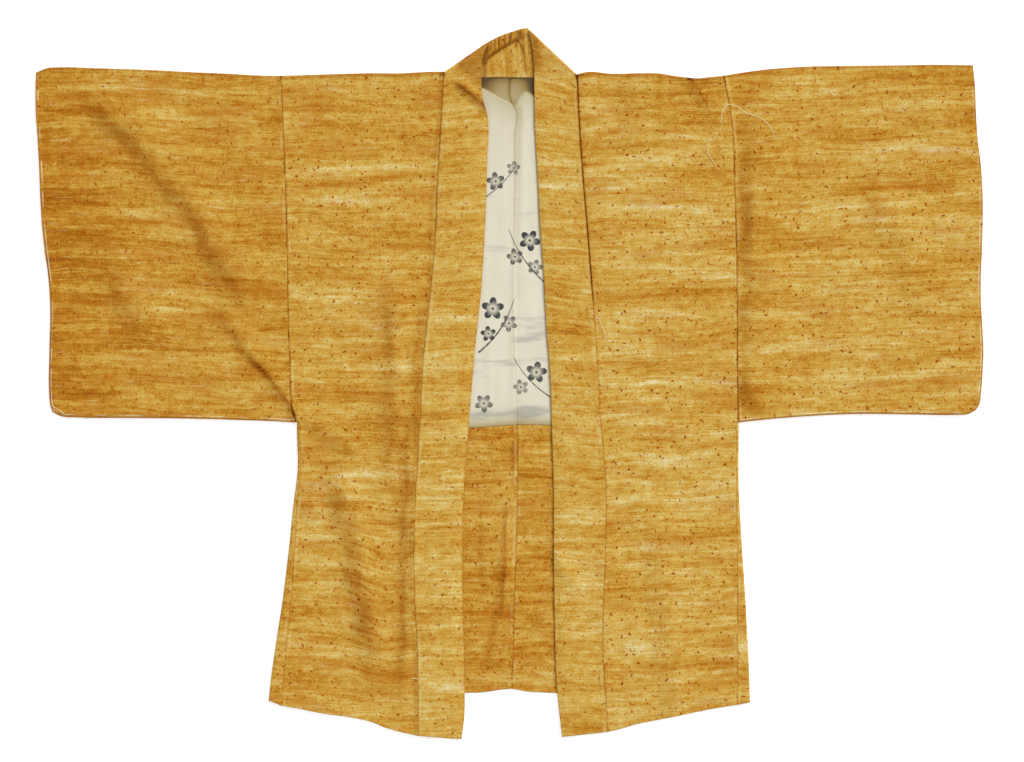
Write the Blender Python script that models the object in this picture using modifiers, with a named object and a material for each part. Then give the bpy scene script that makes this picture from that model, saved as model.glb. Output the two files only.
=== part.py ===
"""A haori jacket laid out flat, face up, with its sleeves straight.

Every piece of cloth is a thin wall: a grid worked out from the garment's own sizes and
given its thickness by Solidify.  The back lies on the ground (z = 0), the back lining and
the hem facing lie on it, the fronts and sleeves fold over at the shoulder line and lie on
those, and the collar lies along the fronts and round the back of the neck.

Garment sizes are in millimetres: "out" is measured from the centre-back line towards a
sleeve, "drop" from the shoulder line towards the hem, "x" is out with its sign (the
wearer's right is negative).  The wearer's right is at -X, the collar is towards +Y.
"""

import math

import bmesh
import bpy
import numpy as np

MM = 0.001

# The centre-back line and the shoulder line, from the middle of the whole outline.
CENTRE_X = 3.4
SHOULDER_Y = 419.2

# Walls, and the gap between pieces that are sewn or lie together.
CLOTH_WALL = 1.2
LINING_WALL = 1.0
COLLAR_WALL = 2.4
SEAM_GAP = 0.3

# Heights of the middle of each wall above the ground.
BACK_HEIGHT = CLOTH_WALL / 2
LINING_HEIGHT = CLOTH_WALL + SEAM_GAP + LINING_WALL / 2
FACING_HEIGHT = CLOTH_WALL + SEAM_GAP + CLOTH_WALL / 2
FRONT_HEIGHT = 4.8
COLLAR_FRONT_HEIGHT = 5.7
COLLAR_BACK_HEIGHT = COLLAR_WALL / 2

# How far the flat layers stop short of a folded edge.
FOLD_RADIUS = (FRONT_HEIGHT - BACK_HEIGHT) / 2
FOLD_INSET = FOLD_RADIUS + CLOTH_WALL / 2
COLLAR_FOLD_RADIUS = (COLLAR_FRONT_HEIGHT - COLLAR_BACK_HEIGHT) / 2
COLLAR_FOLD_INSET = COLLAR_FOLD_RADIUS + COLLAR_WALL / 2

# Steps round a fold, the distance within which points weld, and the angle in degrees
# below which neighbouring faces merge.
BEND_STEPS = 4
WELD_DISTANCE = 0.02
FLAT_ANGLE = 0.05

ARMPIT_DROP = 472.0
NECK_SEAM_DROP = 5.9
CUFF_OPENING = 250.0
SIGN = {"right": -1.0, "left": 1.0}

OCHRE = (0.52, 0.26, 0.05, 1.0)
CREAM = (0.78, 0.76, 0.62, 1.0)
CLOTH_ROUGHNESS = 0.8
SILK_ROUGHNESS = 0.45


def table(columns, *rows):
    """A named column of numbers for each word in columns, from rows of numbers."""
    return dict(zip(columns.split(), np.array(rows, dtype=float).T))


# The fold of the shoulder, from the neck to the sleeve seam.
SHOULDER = {
    "right": table("out drop", (92, -2.0), (108, -2.0), (150, 0.0), (192, 0.0),
                   (246, 1.4), (312, 3.4)),
    "left": table("out drop", (88, 1.5), (99, -1.4), (135, 0.7), (173, 0.0), (200, 0.4),
                  (216, 3.1), (232, 5.4), (250, 6.8), (265, 5.4), (286, 3.4)),
}

# The seam between body and sleeve, down to the armpit.
ARMHOLE = {
    "right": table("drop out", (3, 312), (101, 308), (189, 304.7), (295, 302.8),
                   (360, 301.5), (394, 299.7), (433, 298.9), (458, 295.7), (472, 291.2)),
    "left": table("drop out", (3, 285.5), (48, 294), (89, 298.4), (145, 300.5),
                  (248, 303.3), (350, 304.2), (428, 304.6), (472, 305.5)),
}

# The folded side edge of the jacket, from the armpit to the hem.
SIDE_FOLD = {
    "right": table("drop out", (472, 290.6), (501, 290.2), (522, 289.2), (544, 290.2),
                   (566, 293), (593, 296.5), (631, 300), (674, 305.1), (717, 310.5),
                   (749, 315.6), (787, 321.3), (814, 325.2), (848, 328.7)),
    "left": table("drop out", (472, 306.6), (566, 306.6), (590, 307.8), (637, 310.5),
                  (698, 314.6), (745, 317.2), (799, 320), (850, 321.6)),
}

# How much of the side gusset shows beside the front, between its seam and its fold.
GUSSET_WIDTH = table("drop width", (472, 3.5), (560, 3.9), (640, 7), (745, 13), (850, 18))

# The seam between front and collar, and the collar's free folded edge.
COLLAR_SEAM = {
    "right": table("drop out", (-1, 92.6), (53, 95), (130, 100.2), (238, 105.2),
                   (305, 111.9), (389, 120.3), (455, 124.2), (545, 129.1), (628, 132.7),
                   (710, 131.8), (776, 128.4), (895, 126.8)),
    "left": table("drop out", (2, 87.9), (53, 89.6), (130, 94.6), (231, 103), (321, 109.8),
                  (389, 114.8), (460, 118.3), (545, 125.6), (612, 126.2), (678, 124.2),
                  (744, 121.9), (793, 122.6), (852, 126.6), (890, 128.5)),
}
COLLAR_EDGE = {
    "right": table("drop out", (-40.5, 33.8), (-17, 40), (10, 41.2), (29, 40.4), (59, 33),
                   (120, 33.6), (204, 36.3), (288, 41.3), (372, 49.8), (472, 58.2),
                   (563, 64.9), (645, 67), (744, 65.9), (809, 64.3), (875, 64.9),
                   (899.5, 68.2)),
    "left": table("drop out", (-57.5, 23), (-33, 27), (-11, 29.2), (19, 29.8), (77, 30.8),
                  (136, 34.2), (204, 37.5), (271, 42.5), (339, 45.9), (405, 51),
                  (472, 53.3), (563, 55.9), (645, 56.2), (744, 57.5), (826, 60.1),
                  (896.5, 67.4)),
}

# Where the collar folds over to the back: from its seam to its free edge.
NECK_FOLD = {
    "right": table("out drop", (92.7, -1.0), (33.8, -41.5)),
    "left": table("out drop", (87.6, 2.0), (23.6, -58.5)),
}

# The upper edge of the collar behind the neck, as x and drop.
NECK_TOP = table("x drop", (-33.8, -41.5), (-14, -51.5), (4, -57.5), (15, -60.8),
                 (23.6, -61.3))

# The hems, from the side fold towards the centre.
FRONT_HEM = {
    "right": table("out drop", (69, 899.5), (108, 898), (127, 895), (140, 892), (157, 888),
                   (173, 883), (189, 876.5), (221, 869.4), (254, 865), (286, 858.6),
                   (319, 852), (329, 848)),
    "left": table("out drop", (67, 897), (103, 893.7), (128, 889.7), (146, 885.6),
                  (169, 879), (184, 876), (224, 868), (278, 857), (322, 850)),
}
BACK_HEM = {
    "right": table("out drop", (0, 831.7), (11, 832.5), (27, 835), (43, 837), (65, 837.3),
                   (180, 842), (329, 848)),
    "left": table("out drop", (0, 831.7), (22, 835.5), (45, 837), (61, 837.7), (180, 842.5),
                  (322, 850)),
}

# The sleeves: folded upper edge, sleeve end and folded lower edge.
SLEEVE_TOP = {
    "right": table("out drop", (312, 3.4), (335, 3.2), (383, 0.7), (432, -1.4),
                   (481, -4.1), (513, -5.4), (562, -6.8), (610, -8.1), (626, -6.6),
                   (644.6, 4.1)),
    "left": table("out drop", (286, 3.4), (297, 1.4), (329, -3.4), (362, -6.8),
                  (394, -8.8), (459, -10.1), (524, -10.8), (572, -11.5), (622.4, -10.8)),
}
SLEEVE_END = {
    "right": table("drop out", (4.1, 644.6), (47, 643.5), (80, 641.2), (123, 638.6),
                   (166, 637), (209, 634.3), (242, 630.5), (285, 625.6), (320, 623.9),
                   (374, 625), (436, 625.1), (448, 624), (458, 620.5)),
    "left": table("drop out", (-10.8, 622.4), (15, 625.1), (47, 626.4), (91, 629.1),
                  (123, 633), (172, 635.7), (239, 634.5), (306, 633.6), (347, 635.9),
                  (374, 637), (404, 635.9), (436, 633.4), (446, 632), (455, 627)),
}
SLEEVE_BOTTOM = {
    "right": table("out drop", (290, 472), (313, 470.5), (367, 468.5), (448, 466.4),
                   (529, 465.8), (590, 464.9), (609, 463.4), (620.5, 458)),
    "left": table("out drop", (305, 472.3), (324, 470), (384, 464.6), (464, 460.6),
                  (544, 461.2), (600, 461.6), (616, 460.6), (627, 455)),
}

# The centre seam of the lining and of the facing below it, as x, and the lining's end.
CENTRE_SEAM = table("drop x", (5, -4.5), (39, 2.3), (86, 5), (170, 4.1), (305, 0.7),
                    (472, 7.3), (545, 7.4), (612, 6.5), (710, 3.1), (776, 1.5), (832, -0.8))
LINING_END = table("x drop", (-330, 481), (-58, 479.3), (-25, 477), (8, 475.2), (53, 476.3),
                   (330, 481))

# Folds of the cloth as it lies: a ridge (or a trough, where height is negative) from one
# point to another, bowed sideways, with its width on each side.
FRONT_FOLDS = table(
    "x0 drop0 x1 drop1 bow width_a width_b height",
    (-585, 20, -358, 322, 16, 16, 55, 5.0),
    (-412, 318, -288, 492, 9, 10, 34, 6.0),
    (-590, 190, -480, 372, 6, 26, 48, 2.4),
    (-247, 530, -186, 840, 8, 15, 46, 5.0),
    (-161, 285, -157, 575, 3, 15, 22, 3.6),
    (-300, 480, -268, 610, -5, 14, 24, 2.6),
    (228, 0, 262, 48, 4, 13, 10, 3.0),
    (314, 70, 317, 470, 0, 13, 30, -1.9),
    (176, 560, 214, 900, 12, 22, 34, 2.2),
    (480, 150, 560, 330, 10, 30, 40, 2.2),
)
COLLAR_FOLDS = table(
    "x0 drop0 x1 drop1 bow width_a width_b height",
    (-79, 6, -27, 44, 0, 9, 15, 2.6),
    (54, 636, 90, 700, 0, 14, 14, 1.6),
)
NECK_CREASES = table(
    "x0 drop0 x1 drop1 bow width_a width_b height",
    (-45, -14, 20, -60, 4, 9, 9, 1.6),
)

# Rows down the sleeve seam and the side seam, shared by the pieces on each side of them.
ARM_ROWS = 30
SIDE_ROWS = 24
SLEEVE_COLUMNS = 26
SLEEVE_CROWDING = 0.12
BODY_COLUMNS = 19
NECK_COLUMNS = 3
COLLAR_COLUMNS = 5
NECK_STATIONS = 9
LINING_COLUMNS = 8
LINING_ROWS = 14
FACING_ROWS = 12


def curve(knots, values, at):
    """The smooth curve through a table's rows, as cubic Hermite pieces."""
    at = np.clip(at, knots[0], knots[-1])
    slopes = np.gradient(values, knots)
    k = np.clip(np.searchsorted(knots, at, side="right") - 1, 0, len(knots) - 2)
    span = knots[k + 1] - knots[k]
    t = (at - knots[k]) / span
    rise = values[k + 1] - values[k]
    bend = slopes[k] * span * t * (1 - t) ** 2 - slopes[k + 1] * span * t ** 2 * (1 - t)
    return values[k] + rise * t * t * (3 - 2 * t) + bend


def out_at(edge, drop):
    return curve(edge["drop"], edge["out"], np.asarray(drop, dtype=float))


def drop_at(edge, out):
    return curve(edge["out"], edge["drop"], np.asarray(out, dtype=float))


def fold_height(folds, x, drop):
    """The lift of the cloth at a place: the sum of its folds, zero beyond their widths."""
    lift = np.zeros_like(x)
    for x0, drop0, x1, drop1, bow, width_a, width_b, height in zip(*folds.values()):
        length = math.hypot(x1 - x0, drop1 - drop0)
        ex, ed = (x1 - x0) / length, (drop1 - drop0) / length
        along = ((x - x0) * ex + (drop - drop0) * ed) / length
        ends = np.clip(4 * along * (1 - along), 0, 1)
        across = (x - x0) * ed - (drop - drop0) * ex - bow * ends
        width = np.where(across < 0, width_a, width_b)
        bump = np.clip(1 - (across / width) ** 2, 0, 1) ** 2
        lift += height * bump * np.minimum(1, 2 * ends)
    return lift


def front_height(x, drop):
    return FRONT_HEIGHT + fold_height(FRONT_FOLDS, x, drop)


def blend(start, end, share):
    """Straight between two arrays of points, for each share in turn."""
    share = np.asarray(share, dtype=float).reshape(-1, *([1] * np.ndim(start)))
    return (1 - share) * start + share * end


def placed(x, drop, height):
    """Garment millimetres as world metres."""
    return np.stack([x + CENTRE_X, SHOULDER_Y - drop, height], axis=-1) * MM


def bend_rows(start, end, outward, radius=FOLD_RADIUS):
    """The rounded rows between a layer's edge and the edge of the layer under it."""
    middle = (start + end) / 2
    rise = (start[:, 2:] - end[:, 2:]) / 2
    rows = []
    for step in range(1, BEND_STEPS):
        angle = math.pi * step / BEND_STEPS
        row = middle + outward * radius * MM * math.sin(angle)
        row[:, 2:] += rise * math.cos(angle)
        rows.append(row)
    return rows


def add_material(mesh, name, colour, roughness):
    material = bpy.data.materials.new(name)
    material.use_nodes = True
    shader = material.node_tree.nodes["Principled BSDF"]
    shader.inputs["Base Color"].default_value = colour
    shader.inputs["Roughness"].default_value = roughness
    mesh.materials.append(material)


def add_cloth(name, patches, wall, colour, roughness):
    """One wall of cloth from patches of points, welded where the patches share points.

    Each patch is (points, kept): points in rows and columns, and which of its cells stay.
    """
    cloth = bmesh.new()
    for points, kept in patches:
        rows, columns = points.shape[0] - 1, points.shape[1] - 1
        made = bmesh.ops.create_grid(cloth, x_segments=columns, y_segments=rows, size=0.5)
        for vertex, point in zip(made["verts"], points.reshape(-1, 3)):
            vertex.co = point
        cells = {face for vertex in made["verts"] for face in vertex.link_faces}
        cells = sorted(cells, key=lambda face: face.index)
        cut = [face for face, keep in zip(cells, kept.ravel()) if not keep]
        bmesh.ops.delete(cloth, geom=cut, context="FACES")
        cloth.faces.index_update()
    bmesh.ops.remove_doubles(cloth, verts=cloth.verts, dist=WELD_DISTANCE * MM)
    bmesh.ops.recalc_face_normals(cloth, faces=cloth.faces)
    mesh = bpy.data.meshes.new(name)
    cloth.to_mesh(mesh)
    cloth.free()
    mesh.shade_smooth()
    add_material(mesh, name, colour, roughness)
    piece = bpy.data.objects.new(name, mesh)
    jacket.objects.link(piece)
    solidify = piece.modifiers.new("Wall", "SOLIDIFY")
    solidify.thickness = wall * MM
    solidify.offset = 0
    solidify.use_even_offset = True
    flatten = piece.modifiers.new("Merge flat faces", "DECIMATE")
    flatten.decimate_type = "DISSOLVE"
    flatten.angle_limit = math.radians(FLAT_ANGLE)


def all_cells(points):
    return np.ones((points.shape[0] - 1, points.shape[1] - 1), dtype=bool)


def shoulder_top(side, out):
    return drop_at(SHOULDER[side], out) + FOLD_INSET


def side_levels(side):
    """The drops along the outer edge of the body: sleeve seam, armpit and side seam."""
    top = shoulder_top(side, out_at(ARMHOLE[side], 3))
    hem = drop_at(FRONT_HEM[side], SIDE_FOLD[side]["out"][-1] - GUSSET_WIDTH["width"][-1])
    above = np.linspace(top, ARMPIT_DROP - FOLD_INSET, ARM_ROWS + 1)
    below = np.linspace(ARMPIT_DROP + SEAM_GAP, hem, SIDE_ROWS + 1)
    return np.concatenate([above, below])


def body_edge(side, drop):
    """The outer edge of the fronts and the back: sleeve seam, then gusset seam."""
    gusset = curve(GUSSET_WIDTH["drop"], GUSSET_WIDTH["width"], drop)
    below = out_at(SIDE_FOLD[side], drop) - gusset
    return np.where(drop < ARMPIT_DROP, out_at(ARMHOLE[side], drop), below)


def body_shares():
    """How far across the front each column of the body lies, from side to collar."""
    return np.linspace(0, 1, BODY_COLUMNS + 1)


def pinned(values, share, first):
    """Values along an edge, eased so that the edge starts at the given one."""
    return values + (1 - share) * (first - values[0])


def front_drops(side):
    """The drops of the rows of the front, for each column from the side in."""
    levels = side_levels(side)
    depth = (levels - levels[0]) / (levels[-1] - levels[0])
    share = body_shares()
    seam = COLLAR_SEAM[side]["out"]
    top_out = blend(body_edge(side, levels[0]), seam[0], share)
    hem_out = blend(body_edge(side, levels[-1]), seam[-1], share)
    top = pinned(shoulder_top(side, top_out), share, levels[0])
    hem = pinned(drop_at(FRONT_HEM[side], hem_out), share, levels[-1])
    return blend(top, hem, depth)


def front_points(side):
    share = body_shares()
    drop = front_drops(side)
    outer = body_edge(side, drop) - SEAM_GAP / 2
    inner = out_at(COLLAR_SEAM[side], drop) + SEAM_GAP / 2
    out = outer + (inner - outer) * share
    x = SIGN[side] * out
    return placed(x, drop, front_height(x, drop))


def back_points(side):
    """The back from the shoulder down, with the extra columns that run under the neck."""
    levels = side_levels(side)
    depth = (levels - levels[0]) / (levels[-1] - levels[0])
    neck_out = out_at(COLLAR_SEAM[side], 0) + SEAM_GAP / 2
    share = body_shares()
    across = np.linspace(0, 1, NECK_COLUMNS + 1)[1:]
    inner = blend(neck_out, SEAM_GAP / 2, across)
    top = shoulder_top(side, blend(body_edge(side, levels[0]), neck_out, share))
    top = pinned(top, share, levels[0])
    hem_out = blend(body_edge(side, levels[-1]), neck_out, share)
    hem = pinned(drop_at(BACK_HEM[side], hem_out), share, levels[-1])
    panel = blend(top, hem, depth)
    neck = blend(np.full(NECK_COLUMNS, top[-1]), drop_at(BACK_HEM[side], inner), depth)
    drop = np.hstack([panel, neck])
    outer = body_edge(side, panel) - SEAM_GAP / 2
    out = np.hstack([outer + (neck_out - outer) * share, np.tile(inner, (len(depth), 1))])
    neck_row = np.full((1, drop.shape[1]), NECK_SEAM_DROP + SEAM_GAP / 2)
    drop = np.vstack([drop[:1], np.maximum(neck_row, drop[:1] + SEAM_GAP), drop[1:]])
    edge = body_edge(side, drop[1:2, :1])[0, 0] - SEAM_GAP / 2
    row_out = np.hstack([edge + (neck_out - edge) * share, inner])
    out = np.vstack([out[:1], row_out[None], out[1:]])
    height = np.full_like(drop, BACK_HEIGHT)
    return placed(SIGN[side] * out, drop, height)


def make_body(side):
    """Front, shoulder fold and back of one half, in one piece of cloth."""
    front = front_points(side)
    back = back_points(side)
    spare = np.repeat(front[:, -1:], NECK_COLUMNS, axis=1)
    width = front.shape[1]
    towards_collar = np.array([0, 1, 0])
    bend = bend_rows(front[0], back[0, :width], towards_collar)
    bend = [np.vstack([row, np.repeat(row[-1:], NECK_COLUMNS, axis=0)]) for row in bend]
    points = np.vstack([np.hstack([front, spare])[::-1], np.array(bend), back])
    kept = all_cells(points)
    neck_row = len(front) + len(bend) + 1
    kept[:neck_row, width - 1:] = False
    add_cloth(f"body_{side}", [(points, kept)], CLOTH_WALL, OCHRE, CLOTH_ROUGHNESS)


def outline_normals(points):
    """Unit normals in plan on the left of an outline as it runs on."""
    tangent = np.gradient(points, axis=0)
    normal = np.stack([-tangent[:, 1], tangent[:, 0]], axis=-1)
    return normal / np.linalg.norm(normal, axis=1)[:, None]


def patch_between(top, bottom, inner, outer, across, down):
    """The patch inside four edges, each point blended from the edges around it."""
    top = top + (1 - across)[:, None] * (inner[0] - top[0])
    bottom = bottom + (1 - across)[:, None] * (inner[-1] - bottom[0])
    outer = outer + (1 - down)[:, None] * (top[-1] - outer[0])
    outer = outer + down[:, None] * (bottom[-1] - outer[-1])
    a, d = across[None, :, None], down[:, None, None]
    edges = (1 - a) * inner[:, None] + a * outer[:, None]
    edges = edges + (1 - d) * top[None] + d * bottom[None]
    corners = (1 - d) * ((1 - a) * top[0] + a * top[-1])
    corners = corners + d * ((1 - a) * bottom[0] + a * bottom[-1])
    return edges - corners


def sleeve_plan(side):
    """The flat layer of a sleeve in plan, and the way each folded edge bulges.

    Points are (out, drop).  Rows run from the upper edge down, columns from the sleeve
    seam to the sleeve end.  The sleeve end stops short only where it is sewn shut.
    """
    even = np.linspace(0, 1, SLEEVE_COLUMNS + 1)
    across = even + SLEEVE_CROWDING * np.sin(math.pi * even)
    levels = side_levels(side)
    levels = levels[levels < ARMPIT_DROP]
    down = (levels - levels[0]) / (levels[-1] - levels[0])
    inner = np.stack([out_at(ARMHOLE[side], levels) + SEAM_GAP / 2, levels], axis=-1)
    end, bottom_edge, top_edge = SLEEVE_END[side], SLEEVE_BOTTOM[side], SLEEVE_TOP[side]
    top_out = blend(inner[0, 0], end["out"][0], across)
    top = np.stack([top_out, drop_at(top_edge, top_out) + FOLD_INSET], axis=-1)
    bottom_out = blend(bottom_edge["out"][0], bottom_edge["out"][-1], across)
    bottom = np.stack([bottom_out, drop_at(bottom_edge, bottom_out)], axis=-1)
    end_drop = blend(top[-1, 1], end["drop"][-1], down)
    outer = np.stack([out_at(end, end_drop), end_drop], axis=-1)
    outline = np.vstack([bottom, outer[-2::-1]])
    away = outline_normals(outline)
    below, beside = away[:len(bottom)], away[len(bottom) - 1:][::-1]
    sewn = (outer[:, 1] > CUFF_OPENING).astype(float)
    bottom = bottom - FOLD_INSET * below
    outer = outer - FOLD_INSET * sewn[:, None] * beside
    plan = patch_between(top, bottom, inner, outer, across, down)
    return plan, below, beside, sewn > 0


def make_sleeve(side):
    """A flat tube of cloth, open at the body and at the upper part of its end."""
    plan, below, beside, sewn = sleeve_plan(side)
    x, drop = SIGN[side] * plan[..., 0], plan[..., 1]
    front = placed(x, drop, front_height(x, drop))
    back = placed(x, drop, np.full_like(x, BACK_HEIGHT))
    plan_to_world = np.array([SIGN[side], -1.0])
    flat = np.zeros((len(below), 1))
    downward = np.hstack([below * plan_to_world, flat])
    lower = bend_rows(front[-1], back[-1], downward)
    upper = bend_rows(back[0], front[0], np.array([0, 1, 0]))
    tube = np.vstack([front, np.array(lower), back[::-1], np.array(upper), front[:1]])
    first = int(np.argmax(sewn))
    flat = np.zeros((len(beside), 1))
    sideways = np.hstack([beside * plan_to_world, flat])[first:]
    columns = bend_rows(front[first:, -1], back[first:, -1], sideways)
    end = np.stack([front[first:, -1], *columns, back[first:, -1]], axis=1)
    patches = [(tube, all_cells(tube)), (end, all_cells(end))]
    add_cloth(f"sleeve_{side}", patches, CLOTH_WALL, OCHRE, CLOTH_ROUGHNESS)


def make_gusset(side):
    """The side gusset, folded in half lengthwise between the front and the back."""
    levels = side_levels(side)
    seam_drop = levels[levels > ARMPIT_DROP]
    seam = body_edge(side, seam_drop) + SEAM_GAP / 2
    depth = (seam_drop - seam_drop[0]) / (seam_drop[-1] - seam_drop[0])
    fold_drop = blend(seam_drop[0], drop_at(FRONT_HEM[side], SIDE_FOLD[side]["out"][-1]), depth)
    fold = out_at(SIDE_FOLD[side], fold_drop) - FOLD_INSET
    x = SIGN[side] * np.stack([seam, (seam + fold) / 2, fold], axis=0)
    drop = np.stack([seam_drop, (seam_drop + fold_drop) / 2, fold_drop], axis=0)
    front = placed(x, drop, front_height(x, drop))
    back = placed(x, drop, np.full_like(x, BACK_HEIGHT))
    bend = bend_rows(front[-1], back[-1], np.array([SIGN[side], 0, 0]))
    points = np.vstack([front, np.array(bend), back[::-1]])
    patches = [(points, all_cells(points))]
    add_cloth(f"gusset_{side}", patches, CLOTH_WALL, OCHRE, CLOTH_ROUGHNESS)


def fold_line(side):
    """Where the collar folds back at one side of the neck.

    The two ends of the fold, set in from its outer edge, and the way the fold bulges.
    """
    ends = np.stack([SIGN[side] * NECK_FOLD[side]["out"], NECK_FOLD[side]["drop"]], axis=-1)
    along = (ends[1] - ends[0]) / np.linalg.norm(ends[1] - ends[0])
    away = np.array([-along[1], along[0]]) * SIGN[side]
    return ends - COLLAR_FOLD_INSET * away, away


def collar_front(side):
    """One front of the collar: rows from the hem up, columns from seam to free edge."""
    fold, _ = fold_line(side)
    rows = front_drops(side)[::-1, -1]
    climb = (rows[0] - rows) / (rows[0] - rows[-1])
    seam_drop = blend(rows[0], fold[0, 1], climb)
    edge_drop = blend(COLLAR_EDGE[side]["drop"][-1], fold[1, 1], climb)
    seam_out = out_at(COLLAR_SEAM[side], seam_drop) - SEAM_GAP / 2
    edge_out = out_at(COLLAR_EDGE[side], edge_drop)
    seam_x, edge_x = SIGN[side] * seam_out, SIGN[side] * edge_out
    seam_x[-1], edge_x[-1] = fold[0, 0], fold[1, 0]
    share = np.linspace(0, 1, COLLAR_COLUMNS + 1)
    x = blend(seam_x, edge_x, share).T
    drop = blend(seam_drop, edge_drop, share).T
    lift = fold_height(FRONT_FOLDS, x, drop) + fold_height(COLLAR_FOLDS, x, drop)
    return placed(x, drop, COLLAR_FRONT_HEIGHT + lift)


def collar_fold(front, side):
    """The rows of the fold at one side of the neck, and its last row at the back."""
    _, away = fold_line(side)
    back = front.copy()
    back[:, 2] = COLLAR_BACK_HEIGHT * MM
    outward = np.array([away[0], -away[1], 0])
    return [*bend_rows(front, back, outward, COLLAR_FOLD_RADIUS), back]


def collar_back():
    """The rows behind the neck, between the two folds."""
    share = np.linspace(0, 1, NECK_STATIONS + 1)[1:-1]
    right, _ = fold_line("right")
    left, _ = fold_line("left")
    seam_x = blend(right[0, 0], left[0, 0], share)
    seam_drop = np.full_like(seam_x, NECK_SEAM_DROP - SEAM_GAP / 2)
    top_x = blend(right[1, 0], left[1, 0], share)
    top_drop = curve(NECK_TOP["x"], NECK_TOP["drop"], top_x)
    across = np.linspace(0, 1, COLLAR_COLUMNS + 1)
    x = blend(seam_x, top_x, across).T
    drop = blend(seam_drop, top_drop, across).T
    height = COLLAR_BACK_HEIGHT + fold_height(NECK_CREASES, x, drop)
    return placed(x, drop, height)


def make_collar():
    """One band of doubled cloth from hem to hem, folded over at each side of the neck."""
    right, left = collar_front("right"), collar_front("left")
    right_fold = collar_fold(right[-1], "right")
    left_fold = collar_fold(left[-1], "left")
    rows = [*right, *right_fold, *collar_back(), *left_fold[::-1], *left[::-1]]
    points = np.array(rows)
    patches = [(points, all_cells(points))]
    add_cloth("collar", patches, COLLAR_WALL, OCHRE, CLOTH_ROUGHNESS)


def layer_points(side, top, bottom, rows, height):
    """A layer on the back, from the centre seam out, between two edges given by x."""
    share = np.linspace(0, 1, LINING_COLUMNS + 1)
    depth = np.linspace(0, 1, rows + 1)
    reach = body_edge(side, np.array([top(0.0), ARMPIT_DROP, bottom(0.0)])).min()
    guess = SIGN[side] * share * (reach - FOLD_INSET)
    drop = blend(top(guess), bottom(guess), depth)
    centre = curve(CENTRE_SEAM["drop"], CENTRE_SEAM["x"], drop) + SIGN[side] * SEAM_GAP / 2
    outer = SIGN[side] * (body_edge(side, drop) - 2 * FOLD_INSET)
    x = centre + (outer - centre) * share
    return placed(x, drop, np.full_like(x, height))


def make_lining(side):
    """The lining of the back, from the neck seam down to the hem facing."""
    def top(x):
        shoulder = drop_at(SHOULDER[side], np.abs(x)) + 2 * FOLD_INSET
        return np.maximum(NECK_SEAM_DROP + SEAM_GAP / 2, shoulder)

    def bottom(x):
        return curve(LINING_END["x"], LINING_END["drop"], x) - SEAM_GAP / 2

    points = layer_points(side, top, bottom, LINING_ROWS, LINING_HEIGHT)
    patches = [(points, all_cells(points))]
    add_cloth(f"lining_back_{side}", patches, LINING_WALL, CREAM, SILK_ROUGHNESS)


def make_facing(side):
    """The deep hem facing of the back, of the outer cloth, below the lining."""
    def top(x):
        return curve(LINING_END["x"], LINING_END["drop"], x) + SEAM_GAP / 2

    def bottom(x):
        return drop_at(BACK_HEM[side], np.abs(x)) - SEAM_GAP

    points = layer_points(side, top, bottom, FACING_ROWS, FACING_HEIGHT)
    patches = [(points, all_cells(points))]
    add_cloth(f"hem_facing_{side}", patches, CLOTH_WALL, OCHRE, CLOTH_ROUGHNESS)


for thing in list(bpy.data.objects):
    bpy.data.objects.remove(thing, do_unlink=True)

jacket = bpy.data.collections.new("haori_jacket")
bpy.context.scene.collection.children.link(jacket)

for half in ("right", "left"):
    make_body(half)
    make_sleeve(half)
    make_gusset(half)
    make_lining(half)
    make_facing(half)
make_collar()
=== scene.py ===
import functools
import math

import bmesh
import bpy
import numpy as np
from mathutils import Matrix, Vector


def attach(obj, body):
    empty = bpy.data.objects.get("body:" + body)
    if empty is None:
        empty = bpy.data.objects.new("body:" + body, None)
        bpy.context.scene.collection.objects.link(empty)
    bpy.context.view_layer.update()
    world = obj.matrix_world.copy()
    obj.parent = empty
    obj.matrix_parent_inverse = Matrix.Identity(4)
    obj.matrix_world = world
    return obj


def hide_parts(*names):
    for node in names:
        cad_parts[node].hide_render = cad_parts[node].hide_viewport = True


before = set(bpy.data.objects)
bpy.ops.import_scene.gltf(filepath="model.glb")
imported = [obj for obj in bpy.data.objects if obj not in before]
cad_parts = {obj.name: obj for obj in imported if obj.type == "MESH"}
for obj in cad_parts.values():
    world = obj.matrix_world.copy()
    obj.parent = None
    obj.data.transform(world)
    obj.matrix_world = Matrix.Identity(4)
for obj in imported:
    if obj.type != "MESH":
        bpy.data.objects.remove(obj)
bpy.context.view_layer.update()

mm = 0.001

# A haori laid flat, face up. Sizes are in mm: "out" runs from the centre-back line to a
# sleeve, "drop" from the shoulder line to the hem, and "x" is out with its sign.
layout = {
    # where x = 0 and drop = 0 lie in the world
    "centreX": 3.4, "shoulderY": 419.2,
    # height of the middle of each layer
    "back": 0.6, "lining": 2, "facing": 2.1, "front": 4.8, "collarFront": 5.7, "collarBack": 1.2,
    # walls, and the gap between pieces along a seam
    "clothWall": 1.2, "liningWall": 1, "collarWall": 2.4, "gap": 0.3,
    # how far a fold bulges, and how far inside the outline it starts
    "foldRadius": 2.1, "foldInset": 2.7, "collarFoldRadius": 2.25, "collarFoldInset": 3.45,
    # drop of the armpit
    "armpit": 472,
    # cloth that a fold takes up, and how far a tucked edge goes under in one step
    "foldCloth": 6, "tuckStep": 0.9,
    # height and length of the cloth's faint waves
    "ripple": 0.22, "rippleLong": 60,
}
signOf = {"right": -1.0, "left": 1.0}
nodesOf = {"right": "_right", "left": "_left"}


def table(columns, *rows):
    # one named array for each word in columns
    return dict(zip(columns.split(), np.array(rows, dtype=float).T))


def strokes(*rows):
    # folds or shades: from one point to another, bowed, with a width on each side
    return table("x0 drop0 x1 drop1 bow widthA widthB height", *rows)


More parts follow.
